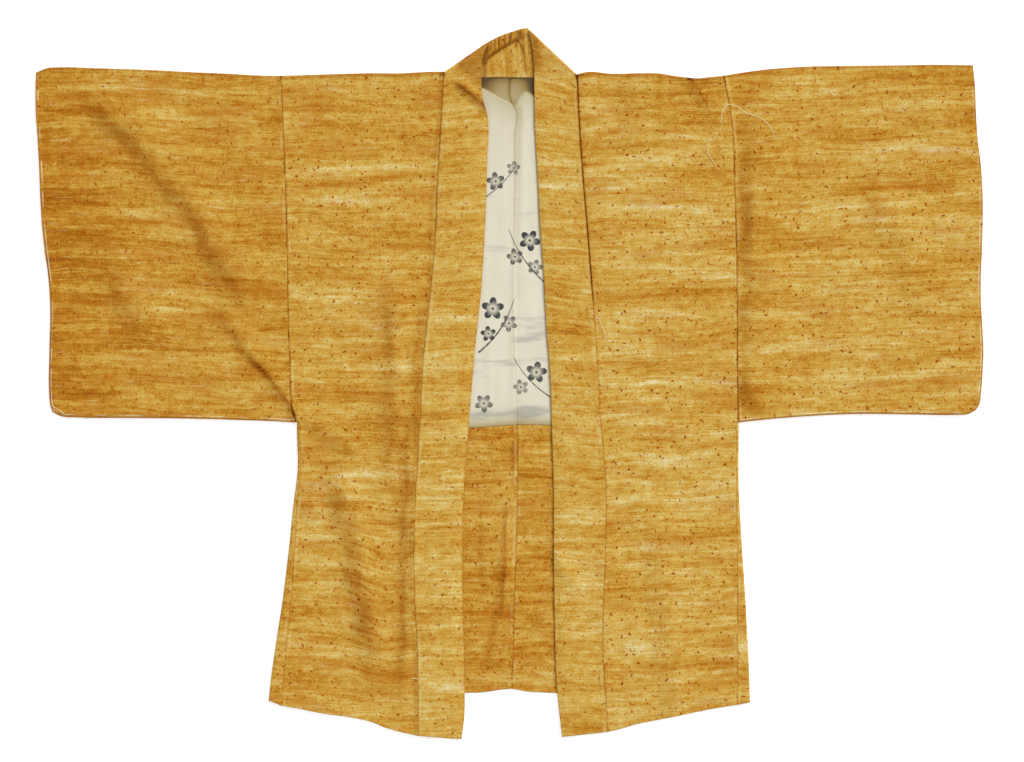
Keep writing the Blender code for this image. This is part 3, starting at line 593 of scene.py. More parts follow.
# One half of the body: front, shoulder and back in one length of cloth.
body = {
    # outlines, through which smooth curves run
    "shoulder": {
        "right": table("out drop", (92, -2), (108, -2), (150, 0), (192, 0), (246, 1.4), (312, 3.4)),
        "left": table(
            "out drop", (88, 1.5), (99, -1.4), (135, 0.7), (173, 0), (200, 0.4), (216, 3.1), (232, 5.4),
            (250, 6.8), (265, 5.4), (286, 3.4)),
    },
    "armhole": {
        "right": table(
            "drop out", (3, 312), (101, 308), (189, 304.7), (295, 302.8), (360, 301.5), (394, 299.7),
            (433, 298.9), (458, 295.7), (472, 291.2)),
        "left": table(
            "drop out", (3, 285.5), (48, 294), (89, 298.4), (145, 300.5), (248, 303.3), (350, 304.2),
            (428, 304.6), (472, 305.5)),
    },
    "sideFold": {
        "right": table(
            "drop out", (472, 290.6), (501, 290.2), (522, 289.2), (544, 290.2), (566, 293),
            (593, 296.5), (631, 300), (674, 305.1), (717, 310.5), (749, 315.6), (787, 321.3),
            (814, 325.2), (848, 328.7)),
        "left": table(
            "drop out", (472, 306.6), (566, 306.6), (590, 307.8), (637, 310.5), (698, 314.6),
            (745, 317.2), (799, 320), (850, 321.6)),
    },
    "gussetWidth": table("drop width", (472, 3.5), (560, 3.9), (640, 7), (745, 13), (850, 18)),
    "collarSeam": {
        "right": table(
            "drop out", (-1, 92.6), (53, 95), (130, 100.2), (238, 105.2), (305, 111.9), (389, 120.3),
            (455, 124.2), (545, 129.1), (628, 132.7), (710, 131.8), (776, 128.4), (895, 126.8)),
        "left": table(
            "drop out", (2, 87.9), (53, 89.6), (130, 94.6), (231, 103), (321, 109.8), (389, 114.8),
            (460, 118.3), (545, 125.6), (612, 126.2), (678, 124.2), (744, 121.9), (793, 122.6),
            (852, 126.6), (890, 128.5)),
    },
    "frontHem": {
        "right": table(
            "out drop", (69, 899.5), (108, 898), (127, 895), (140, 892), (157, 888), (173, 883),
            (189, 876.5), (221, 869.4), (254, 865), (286, 858.6), (319, 852), (329, 848)),
        "left": table(
            "out drop", (67, 897), (103, 893.7), (128, 889.7), (146, 885.6), (169, 879), (184, 876),
            (224, 868), (278, 857), (322, 850)),
    },
    "backHem": {
        "right": table(
            "out drop", (0, 831.7), (11, 832.5), (27, 835), (43, 837), (65, 837.3), (180, 842),
            (329, 848)),
        "left": table(
            "out drop", (0, 831.7), (22, 835.5), (45, 837), (61, 837.7), (180, 842.5), (322, 850)),
    },
    # ridges, and troughs below zero
    "folds": strokes(
        (-588, 12, -356, 326, 26, 26, 60, 2.6), (-401, 327, -280, 486, 11, 12, 32, 2.2),
        (-286, 462, -205, 520, 0, 16, 30, 1.2), (-600, 195, -470, 372, 6, 40, 60, 1.6),
        (-247, 530, -186, 840, 10, 22, 50, 2.4), (-160, 270, -162, 590, 2, 26, 20, 2),
        (-125, 330, -133, 790, -2, 15, 5, 1.4), (-300, 480, -268, 610, -5, 18, 30, 1.4),
        (228, 0, 262, 48, 3, 8, 13, 1.8), (333, 40, 331, 478, 2, 27, 62, 2.2),
        (314, 412, 330, 462, 0, 14, 20, 1.4), (176, 560, 214, 900, 12, 26, 40, 1.6),
        (120, 610, 128, 860, 4, 14, 22, 0.9), (480, 150, 560, 330, 10, 34, 46, 1.5),
        (590, 20, 520, 150, -6, 30, 40, 1.2)),
    # where the cloth turns from the light: strokes laid out like the folds
    "shades": strokes(
        (-600, 10, -340, 344, 19, 42, 26, 0.16), (-588, 26, -352, 330, 19, 20, 12, 0.28),
        (-410, 308, -328, 412, -3, 24, 18, 0.14), (-400, 322, -336, 404, -3, 11, 9, 0.22),
        (-352, 388, -287, 473, 7, 7, 2.4, 0.66), (-360, 380, -287, 473, 4, 18, 12, 0.12),
        (-556, 205, -500, 372, -6, 34, 26, 0.24), (-253, 505, -189, 850, 8, 38, 24, 0.17),
        (-241, 545, -192, 790, 8, 20, 13, 0.25), (-142, 420, -146, 880, -3, 24, 12, 0.18),
        (-141, 460, -146, 850, -3, 13, 8, 0.26), (-172, 270, -166, 560, 2, 28, 22, 0.16),
        (-168, 300, -165, 530, 2, 15, 12, 0.2), (-123, 305, -132, 510, 0, 9, 6, 0.3),
        (-290, 466, -206, 520, 0, 14, 11, 0.2), (230, 0, 264, 50, 3, 1.8, 6, 0.62),
        (238, 0, 268, 60, 3, 4, 22, 0.18), (152, 4, 160, 100, 0, 24, 20, 0.2),
        (306, 50, 306, 260, 0, 4, 34, 0.22), (318, 90, 322, 350, 0, 18, 8, 0.22),
        (314, 290, 318, 452, 0, 16, 8, 0.2), (312, 404, 332, 466, 0, 12, 20, 0.17),
        (180, 600, 210, 890, 8, 26, 22, 0.12), (470, 150, 550, 340, 10, 28, 22, 0.12)),
    # drop of the neck's seam, size of the panel, how much its weft follows the hem, and its sag
    "neckSeam": 5.9, "width": 205, "length": 880, "weftEven": 0.25, "sag": 14,
    # the sag's bounds in x, from the crease to the collar, and in drop
    "sagAcross": (-232, -172, -128), "sagDown": (590, 660, 780, 860),
    # how fine the grid is
    "columns": 58, "armRows": 112, "sideRows": 92, "backRows": 70, "bendSteps": 12, "neckColumns": 6,
    # how the edges by the collar lie: fall of the tucked edge, ridge and groove
    "tuckFall": {"right": 0.05, "left": 0.3}, "collarRidge": {"right": 0.6, "left": 0.3},
    "collarGroove": {"right": 0.1, "left": 0.5},
    # place of the piece on the bolt of cloth
    "bolt": {"right": (0, 0), "left": (0.5, 2)},
    # pale (above zero) and deep streaks: middle, half length, half height and strength
    "bands": {
        "right": [
            (-171, 127, 85, 6, 0.13), (-239, 174, 75, 5, 0.22), (-259, 308, 42, 12, 0.1),
            (-246, 396, 65, 5, 0.17), (-151, 398, 35, 5, 0.12), (-219, 541, 50, 8, 0.2),
            (-215, 575, 90, 4, 0.11), (-266, 628, 35, 7, 0.17), (-246, 787, 50, 6, 0.12),
            (-230, 858, 60, 7, 0.12), (-124, 53, 55, 6, -0.08), (-178, 216, 70, 6, -0.07),
            (-180, 335, 60, 30, 0.06), (-262, 470, 40, 10, -0.07), (-300, 700, 30, 20, -0.05),
            (-235, 812, 95, 11, -0.12), (-220, 620, 90, 60, 0.06), (-285, 528, 30, 20, 0.05),
            (-200, 868, 45, 12, 0.07), (-225, 700, 80, 90, 0.03), (-302, 695, 14, 45, -0.07)],
        "left": [
            (173, 15, 80, 6, 0.09), (240, 86, 56, 6, 0.19), (190, 115, 45, 12, 0.08),
            (275, 106, 30, 9, -0.12), (186, 181, 95, 5, 0.16), (254, 204, 50, 7, 0.09),
            (173, 262, 62, 7, 0.13), (210, 417, 95, 6, 0.17), (207, 527, 35, 8, 0.17),
            (265, 585, 55, 8, 0.13), (165, 664, 38, 7, 0.14), (165, 775, 45, 9, 0.13),
            (247, 68, 28, 8, -0.13), (190, 292, 110, 8, -0.11), (245, 629, 60, 8, -0.1),
            (225, 685, 65, 6, -0.1), (281, 729, 27, 5, -0.14), (240, 800, 90, 6, -0.12),
            (262, 26, 72, 34, -0.17), (195, 48, 40, 14, -0.08), (163, 468, 50, 18, 0.11),
            (182, 246, 55, 16, 0.09), (265, 575, 60, 22, 0.06), (235, 748, 90, 55, 0.05),
            (170, 610, 50, 20, 0.05), (230, 348, 40, 14, 0.07), (160, 548, 35, 14, 0.06),
            (205, 830, 40, 14, 0.07), (316, 158, 20, 12, -0.08), (112, 120, 20, 16, -0.08),
            (215, 72, 26, 8, -0.08), (278, 850, 30, 10, 0.06)],
    },
}


def shoulderTop(side, out):
    # the fold at the shoulder starts a little below the outline
    return lineAt(body["shoulder"][side], out) + layout["foldInset"]


def seamTop(side):
    # drop where the sleeve's seam starts, below the fold
    return shoulderTop(side, body["armhole"][side]["out"][0])


def bodyEdge(side, drop):
    # out of the sleeve seam, and below the armpit of the gusset seam
    width = lineAt(body["gussetWidth"], drop)
    below = lineAt(body["sideFold"][side], drop) - width
    return np.where(drop < layout["armpit"], lineAt(body["armhole"][side], drop), below)


def bodyLevels(side, armRows, sideRows):
    # drops down the outer edge: sleeve seam, armpit, side seam, closer together at the hem
    top = seamTop(side)
    hemOut = body["sideFold"][side]["out"][-1] - body["gussetWidth"]["width"][-1]
    hem = lineAt(body["frontHem"][side], hemOut)
    above = np.linspace(top, layout["armpit"] - layout["foldInset"], armRows + 1)
    start = layout["armpit"] + layout["gap"]
    below = start + (hem - start) * crowded(hem - start, sideRows, both=False)
    return np.concatenate([above, below])


def pinned(values, share, first):
    # moves the values so that the first is the one given, and the last stays
    return values + (1 - share) * (first - values[0])


def panelDrops(side, share, levels, inner, hemLine):
    # rows blend from the shoulder line to the hem line with the outer edge's depth; inner is
    # out of the other edge, from the shoulder to the hem
    topOut = between(bodyEdge(side, levels[0]), inner[0], share)
    hemOut = between(bodyEdge(side, levels[-1]), inner[-1], share)
    top = pinned(shoulderTop(side, topOut), share, levels[0])
    hem = pinned(lineAt(hemLine[side], hemOut), share, levels[-1])
    return between(top, hem, shareOf(levels))


def frontDrops(side, share, levels):
    # the front, between the outer edge and the collar's seam
    seamOut = body["collarSeam"][side]["out"]
    return panelDrops(side, share, levels, seamOut, body["frontHem"])


def frontHeight(x, drop, seed):
    # the folds and a faint ripple over the front's level
    uneven = layout["ripple"] * ripple(x, drop, seed, layout["rippleLong"])
    return layout["front"] + foldHeight(body["folds"], x, drop) + uneven


def broken(run, seed):
    # 0 to 1 along a seam, where its line comes and goes
    return np.clip(0.62 + 0.45 * ripple(run, np.zeros_like(run), seed, 26), 0.12, 1)


def seamShade(side, distance, drop, under):
    # the collar's seam, under being 1 on the body and less on the collar: on the left a deep
    # line down its upper part, on the right a soft shadow that leaves the seam and comes back
    patchy = broken(drop, 41)
    line = bell(distance, 1.1 if side == "left" else 1.7)
    if side == "left":
        deep = soft(drop, 330, 290) * (0.95 * line + 0.42 * under * fade(distance, 4))
        return deep + 0.30 * patchy * line + 0.05 * fade(distance, 6)
    upper = soft(drop, 290, 230)
    beside = bell(distance - 1.6 - 4.4 * upper * soft(drop, 60, 120), 3.2)
    return (0.05 + 0.25 * upper) * line + under * (0.16 + 0.14 * patchy) * beside


def creaseShade(x, drop):
    # shade of the strokes beside the folds, patchy along them
    patchy = 0.95 + 0.10 * ripple(x, drop, 33, 34)
    return np.clip(foldHeight(body["shades"], x, drop) * patchy, 0, 0.8)


def foldTopShade(drop):
    # painted shade: a thin dark line along the fold at the top, where the cloth turns down
    return 0.42 * fade(drop - drop[:1], 1.3)


def weftSag(x, drop):
    # how far the weft hangs down, in mm, between the right front's crease and its collar
    crease, middle, seam = body["sagAcross"]
    start, full, wane, end = body["sagDown"]
    across = soft(x, crease, middle) * (1 - 0.45 * soft(x, middle, seam)) * (x < 0)
    return body["sag"] * across * soft(drop, start, full) * soft(drop, end, wane)


def makeBody(side):
    # the front between sleeve seam and collar seam, a bend over the shoulder, and the back
    # under it down to its own hem
    share = crowded(body["width"], body["columns"])
    levels = bodyLevels(side, body["armRows"], body["sideRows"])
    drop = frontDrops(side, share, levels)
    outer = bodyEdge(side, drop) - layout["gap"] / 2
    inner = lineAt(body["collarSeam"][side], drop) + layout["gap"] / 2
    out = outer + (inner - outer) * share
    x = signOf[side] * out
    toSleeve, toCollar = outer - out, out - inner
    height = frontHeight(x, drop, 11)
    height += seamDip(toSleeve, 0.2, 0.2) + 0.14 * pucker(drop, toSleeve, 21)
    height += seamDip(toCollar, body["collarGroove"][side], body["collarRidge"][side])
    height += 0.2 * pucker(drop, toCollar, 22)
    front = placed(x, drop, height)
    hemDrop = drop[-1:] - drop
    even = (shareOf(levels) * body["length"])[:, None]
    run = drop + body["weftEven"] * (even - drop) - weftSag(x, drop)
    frontWeave = triple(out * mm, -run * mm, bandLift(body["bands"][side], x, drop))
    shade = creaseShade(x, drop) + seamShade(side, toCollar, drop, 1.0)
    line = 0.12 + (0.20 + 0.50 * broken(drop, 42)) * soft(drop, 478, 468)
    shade += line * bell(toSleeve, 1.0)
    shade += foldTopShade(drop)
    # raised marks where on the right front the painted highlight beside the collar's seam shows;
    # elsewhere its distance is pushed 9 mm off so that it does not
    raised = soft(drop, 70, 110) * soft(drop, 290, 250) if side == "right" else 0.0
    frontMarks = triple(np.minimum(toSleeve, toCollar + 9 * (1 - raised)), hemDrop, shade)

    # the back, with extra columns that run under the neck
    levels = bodyLevels(side, body["backRows"] // 2, body["backRows"] // 2)
    neckOut = lineAt(body["collarSeam"][side], 0) + layout["gap"] / 2
    neckInner = between(neckOut, layout["gap"] / 2, np.linspace(0, 1, body["neckColumns"] + 1)[1:])
    panel = panelDrops(side, share, levels, [neckOut, neckOut], body["backHem"])
    neckHem = lineAt(body["backHem"][side], neckInner)
    neck = between(np.full(len(neckInner), panel[0, -1]), neckHem, shareOf(levels))
    outer = bodyEdge(side, panel) - layout["gap"] / 2
    backDrop = np.hstack([panel, neck])
    backOut = np.hstack([outer + (neckOut - outer) * share, np.tile(neckInner, (len(levels), 1))])
    neckRow = np.full((1, backDrop.shape[1]), body["neckSeam"] + layout["gap"] / 2)
    neckRow = np.maximum(neckRow, backDrop[:1] + layout["gap"])
    backDrop = np.vstack([backDrop[:1], neckRow, backDrop[1:]])
    backOut = np.vstack([backOut[:1], backOut[:1], backOut[1:]])
    width = len(share)
    back = placed(signOf[side] * backOut, backDrop, np.full_like(backOut, layout["back"]))
    backWeave = triple(backOut * mm, (backDrop + layout["foldCloth"]) * mm, 0.0)
    seamFar = np.minimum(bodyEdge(side, backDrop) - backOut, backOut)
    backMarks = triple(np.abs(seamFar), backDrop[-1:] - backDrop, 0.0)

    bend = bendRows(front[0], back[0, :width], np.array([0, 1, 0]), body["bendSteps"],
                    layout["foldRadius"])
    steps = np.linspace(0, 1, body["bendSteps"] + 1)[1:-1]
    bendWeave = between(frontWeave[0], backWeave[0, :width], steps)
    bendMarks = np.repeat(frontMarks[:1], body["bendSteps"] - 1, axis=0)

    def widened(rows):
        return np.concatenate([rows, rows[:, -1:].repeat(len(neckInner), axis=1)], axis=1)

    points = np.vstack([widened(front)[::-1], widened(bend), back])
    weave = np.vstack([widened(frontWeave)[::-1], widened(bendWeave), backWeave])
    marks = np.vstack([widened(frontMarks)[::-1], widened(bendMarks), backMarks])
    weave[..., :2] += body["bolt"][side]
    flip = side == "left"
    quads = gridQuads(*points.shape[:2], flip)
    kept = np.ones(quads.shape[:2], dtype=bool)
    kept[:len(front) + len(bend) + 1, width - 1:] = False
    patches = [(points, weave, marks, quads[kept])]
    turned = len(front) + len(bend)
    patches += [tuckUnder(points[:turned, column], weave[:turned, column],
                          marks[:turned, column], (way * signOf[side], 0), flip != (column == 0),
                          fall)
                for column, way, fall in ((0, 1, 0.3), (width - 1, -1, body["tuckFall"][side]))]
    piece = addPiece("body" + side.capitalize(), patches,
                     [cloths["body" + side], plainSilk], layout["clothWall"])
    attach(piece, "root")
    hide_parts("body" + nodesOf[side])
    return piece


# A sleeve: a flat tube folded along its top, open at the hand and at the body.
sleeve = {
    "top": {
        "right": table(
            "out drop", (312, 3.4), (335, 3.2), (383, 0.7), (432, -1.4), (481, -4.1), (513, -5.4),
            (562, -6.8), (610, -8.1), (627, -7.2), (642.6, -1.2)),
        "left": table(
            "out drop", (286, 3.4), (297, 1.4), (329, -3.4), (362, -6.8), (394, -8.8), (459, -10.1),
            (524, -10.8), (572, -11.5), (622.4, -10.8)),
    },
    "end": {
        "right": table(
            "drop out", (-1.2, 642.6), (20, 643.4), (47, 643.2), (80, 641.2), (123, 638.6), (166, 637),
            (209, 634.3), (242, 630.5), (285, 625.6), (320, 623.9), (374, 625), (436, 625.1),
            (448, 624), (458, 620.5)),
        "left": table(
            "drop out", (-10.8, 622.4), (15, 625.1), (47, 626.4), (91, 629.1), (123, 633), (172, 635.7),
            (239, 634.5), (306, 633.6), (347, 635.9), (374, 637), (404, 635.9), (436, 633.4),
            (446, 632), (455, 627)),
    },
    "bottom": {
        "right": table(
            "out drop", (290, 472), (313, 470.5), (367, 468.5), (448, 466.4), (529, 465.8),
            (590, 464.9), (609, 463.4), (620.5, 458)),
        "left": table(
            "out drop", (305, 472.3), (324, 470), (384, 464.6), (464, 460.6), (544, 461.2),
            (600, 461.6), (616, 460.6), (627, 455)),
    },
    # end of the hand opening and how the sewn part eases in, and the size of the panel
    "cuffOpening": 250, "cuffEase": 12, "width": 330, "depth": 466, "columns": 86, "rows": 116,
    "bendSteps": 10,
    "rise": ((10, 300, 610), (-11, -556, -367)),  # mm the weft climbs between two x
    "bolt": {"right": (1, 4), "left": (1.5, 6)},
    "bands": {
        "right": [
            (-556, 20, 60, 5, 0.2), (-428, 26, 65, 5, 0.17), (-549, 138, 40, 7, 0.13),
            (-502, 192, 45, 5, 0.16), (-455, 298, 38, 8, 0.15), (-468, 319, 60, 5, 0.22),
            (-381, 394, 25, 8, 0.12), (-570, 55, 45, 7, -0.12), (-597, 170, 80, 9, -0.1),
            (-605, 225, 60, 8, -0.08), (-400, 344, 80, 7, -0.08), (-570, 433, 60, 6, -0.11),
            (-642, 230, 62, 300, -0.12), (-562, 240, 40, 75, -0.06), (-592, 405, 50, 45, -0.06),
            (-470, 275, 130, 8, -0.06), (-510, 78, 50, 12, 0.07), (-430, 196, 50, 12, 0.06),
            (-545, 176, 45, 14, -0.06), (-335, 270, 30, 12, -0.07), (-540, 330, 60, 16, -0.05),
            (-318, 66, 20, 14, -0.07), (-362, 160, 30, 12, -0.07)],
        "left": [
            (416, 27, 80, 5, 0.09), (560, 42, 65, 9, 0.13), (578, 104, 45, 5, 0.17),
            (416, 177, 45, 5, 0.16), (510, 198, 110, 6, 0.18), (605, 194, 28, 8, 0.14),
            (423, 296, 27, 5, 0.19), (362, 369, 60, 9, 0.13), (500, 412, 90, 5, 0.11),
            (537, 8, 60, 6, -0.11), (612, 59, 30, 11, -0.13), (477, 153, 35, 7, -0.12),
            (564, 158, 35, 9, -0.11), (340, 212, 35, 10, -0.1), (330, 306, 35, 14, -0.11),
            (590, 250, 50, 9, -0.09), (560, 374, 55, 13, -0.07), (321, 441, 18, 13, -0.2),
            (456, 388, 62, 30, 0.13), (470, 290, 110, 40, 0.05), (608, 456, 50, 13, -0.14),
            (318, 100, 40, 40, -0.08), (322, 165, 40, 12, -0.06), (630, 20, 40, 60, -0.06),
            (622, 80, 30, 10, -0.08), (312, 14, 34, 30, -0.12)],
    },
}


def weftRise(x):
    # how far the weft has climbed at x, in mm, across each sleeve
    return sum(climb * soft(x, start, end) for climb, start, end in sleeve["rise"])


def outlineNormals(points):
    # unit vectors at right angles to a line of points
    tangent = np.gradient(points, axis=0)
    normal = np.stack([-tangent[:, 1], tangent[:, 0]], axis=-1)
    return normal / np.linalg.norm(normal, axis=1)[:, None]


def patchBetween(top, bottom, inner, outer, across, down):
    # Coons patch: blend across plus blend down minus the blend of the corners
    top = top + (1 - across)[:, None] * (inner[0] - top[0])
    bottom = bottom + (1 - across)[:, None] * (inner[-1] - bottom[0])
    outer = outer + (1 - down)[:, None] * (top[-1] - outer[0])
    outer = outer + down[:, None] * (bottom[-1] - outer[-1])
    a, d = across[None, :, None], down[:, None, None]
    edges = (1 - a) * inner[:, None] + a * outer[:, None] + (1 - d) * top[None] + d * bottom[None]
    corners = (1 - d) * ((1 - a) * top[0] + a * top[-1])
    return edges - corners - d * ((1 - a) * bottom[0] + a * bottom[-1])


def makeSleeve(side):
    # front, bends at the top and bottom, and back in one grid, with a strip closing the end
    inset = layout["foldInset"]
    across = crowded(sleeve["width"], sleeve["columns"])
    down = crowded(sleeve["depth"], sleeve["rows"])
    first = seamTop(side)
    levels = first + down * (layout["armpit"] - inset - first)
    seamOut = lineAt(body["armhole"][side], levels) + layout["gap"] / 2
    inner = np.stack([seamOut, levels], axis=-1)
    end, bottomEdge = sleeve["end"][side], sleeve["bottom"][side]
    topOut = between(inner[0, 0], end["out"][0], across)
    top = np.stack([topOut, lineAt(sleeve["top"][side], topOut) + inset], axis=-1)
    bottomOut = between(bottomEdge["out"][0], bottomEdge["out"][-1], across)
    bottom = np.stack([bottomOut, lineAt(bottomEdge, bottomOut)], axis=-1)
    endDrop = between(top[-1, 1], end["drop"][-1], down)
    outer = np.stack([lineAt(end, endDrop), endDrop], axis=-1)
    away = outlineNormals(np.vstack([bottom, outer[-2::-1]]))
    below, beside = away[:len(bottom)], away[len(bottom) - 1:][::-1]
    opening, ease = sleeve["cuffOpening"], sleeve["cuffEase"]
    sewn = soft(outer[:, 1], opening - ease, opening + ease)
    bottom = bottom - inset * below
    outer = outer - inset * sewn[:, None] * beside
    plan = patchBetween(top, bottom, inner, outer, across, down)

    out, drop = plan[..., 0], plan[..., 1]
    x = signOf[side] * out
    toSeam = np.maximum(out - seamOut[:, None], 0)
    toEnd = np.maximum(lineAt(end, np.clip(drop, end["drop"][0], None)) - out, 0)
    toBottom = np.maximum(lineAt(bottomEdge, out) - drop, 0)
    height = frontHeight(x, drop, 12)
    height += seamDip(toSeam, 0.2, 0.3) + 0.16 * pucker(drop, toSeam, 23)
    height += 0.14 * pucker(drop, toEnd, 24) + 0.14 * pucker(x, toBottom, 25)
    front = placed(x, drop, height)
    back = placed(x, drop, np.full_like(x, layout["back"]))
    bands = bandLift(sleeve["bands"][side], x, drop, weftRise)
    frontWeave = triple(out * mm, -(drop + weftRise(x)) * mm, bands)
    backWeave = triple(out * mm, (drop + layout["foldCloth"]) * mm, 0.0)
    rim = np.minimum(toEnd, toBottom)
    line = (0.32 + 0.50 * broken(drop, 42)) * bell(toSeam, 1.0)
    shade = creaseShade(x, drop) + line + foldTopShade(drop)
    marks = triple(toSeam, rim, shade)

    def outward(ways, reach=1.0):
        return triple(signOf[side] * ways[:, 0] * reach, -ways[:, 1] * reach, 0.0)

    steps = sleeve["bendSteps"]
    shares = np.linspace(0, 1, steps + 1)[1:-1]
    lower = bendRows(front[-1], back[-1], outward(below), steps, layout["foldRadius"])
    upper = bendRows(front[0], back[0], np.array([0, 1, 0]), steps, layout["foldRadius"])
    half = steps // 2
    seamRow = lower[half - 1]
    parted = np.array([0, 0, 0.1 * mm])
    points = np.vstack([[seamRow + parted], lower[:half - 1][::-1], front[::-1], upper, back,
                        lower[half:][::-1], [seamRow - parted]])
    upperWeave = between(frontWeave[0], backWeave[0], shares)
    halfFold = np.array([0, layout["foldCloth"] / 2 * mm, 0])
    lowFront, lowBack = frontWeave[-1] - halfFold, backWeave[-1] + halfFold
    lowShares = np.linspace(0, 1, half + 1)[1:]
    weave = np.vstack([between(lowFront, frontWeave[-1], lowShares),
                       frontWeave[::-1], upperWeave, backWeave,
                       between(backWeave[-1], lowBack, lowShares)])
    flatMarks = marks[-1].copy()
    flatMarks[:, 1:] = 0
    foldMarks = np.repeat(marks[:1], steps - 1, axis=0)
    # the sleeve's back repeats the front's marks with 0.35 of its painted shade
    markRows = np.vstack([np.repeat(flatMarks[None], half, axis=0), marks[::-1],
                          foldMarks, marks * np.array([1, 1, 0.35]),
                          np.repeat(flatMarks[None], half, axis=0)])
    weave[..., :2] += sleeve["bolt"][side]
    flip = side == "right"
    patches = [patch(points, weave, markRows, flip)]

    # the part of the sleeve's end that is sewn shut, easing in below the hand opening
    start = int(np.argmax(sewn > 0))
    columns = bendRows(front[start:, -1], back[start:, -1], outward(beside, sewn)[start:], steps,
                       layout["foldRadius"])
    endPoints = np.stack([front[start:, -1], *columns, back[start:, -1]], axis=1)
    endShares = np.linspace(0, 1, steps + 1)
    endAcross = triple(endShares * layout["foldCloth"] * mm, 0.0, 0.0)
    endWeave = frontWeave[start:, -1][:, None] + endAcross[None]
    endWeave[..., :2] += sleeve["bolt"][side]
    endMarks = np.tile([99.0, 0.0, 0.0], (*endPoints.shape[:2], 1))
    patches.append(patch(endPoints, endWeave, endMarks, not flip))
    piece = addPiece("sleeve" + side.capitalize(), patches,
                     [cloths["sleeve" + side], plainSilk], layout["clothWall"], weld=True)
    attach(piece, "root")
    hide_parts("sleeve" + nodesOf[side])
    return piece


# The narrow side gusset, folded lengthwise between front and back.
gusset = {"rows": 92, "columns": 8, "bendSteps": 10, "bolt": {"right": (2, 8), "left": (2.3, 9)}}


def makeGusset(side):
    # from the body's edge out to the fold and back under it
    levels = bodyLevels(side, 8, gusset["rows"])
    seamDrop = levels[levels > layout["armpit"]]
    seam = bodyEdge(side, seamDrop) + layout["gap"] / 2
    hemDrop = lineAt(body["frontHem"][side], body["sideFold"][side]["out"][-1])
    foldDrop = between(seamDrop[0], hemDrop, shareOf(seamDrop))
    fold = lineAt(body["sideFold"][side], foldDrop) - layout["foldInset"]
    share = np.linspace(0, 1, gusset["columns"] + 1) ** 1.3
    out, drop = between(seam, fold, share), between(seamDrop, foldDrop, share)
    x = signOf[side] * out
    toSeam = out - seam
    height = frontHeight(x, drop, 13) + seamDip(toSeam, 0.15, 0.2) + 0.15 * pucker(drop, toSeam, 26)
    front = placed(x, drop, height)
    back = placed(x, drop, np.full_like(x, layout["back"]))
    bend = bendRows(front[-1], back[-1], np.array([signOf[side], 0, 0]), gusset["bendSteps"],
                    layout["foldRadius"])
    points = np.vstack([front, bend, back[::-1]])
    rows = points.shape[0]
    run = np.linspace(0, 0.04, rows)[:, None] + np.zeros(points.shape[1])
    lengths = np.vstack([drop, np.repeat(drop[-1:], len(bend), axis=0), drop[::-1]])
    weave = triple(run, -lengths * mm, 0.0)
    weave[..., :2] += gusset["bolt"][side]
    toHem = lengths[:, -1:] - lengths
    seams = np.vstack([toSeam, np.full((len(bend), drop.shape[1]), 20.0), toSeam[::-1]])
    marks = triple(seams, toHem, 0.0)
    piece = addPiece("gusset" + side.capitalize(),
                     [patch(points, weave, marks, side == "right")],
                     [cloths["body" + side], plainSilk], layout["clothWall"])
    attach(piece, "root")
    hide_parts("gusset" + nodesOf[side])
    return piece


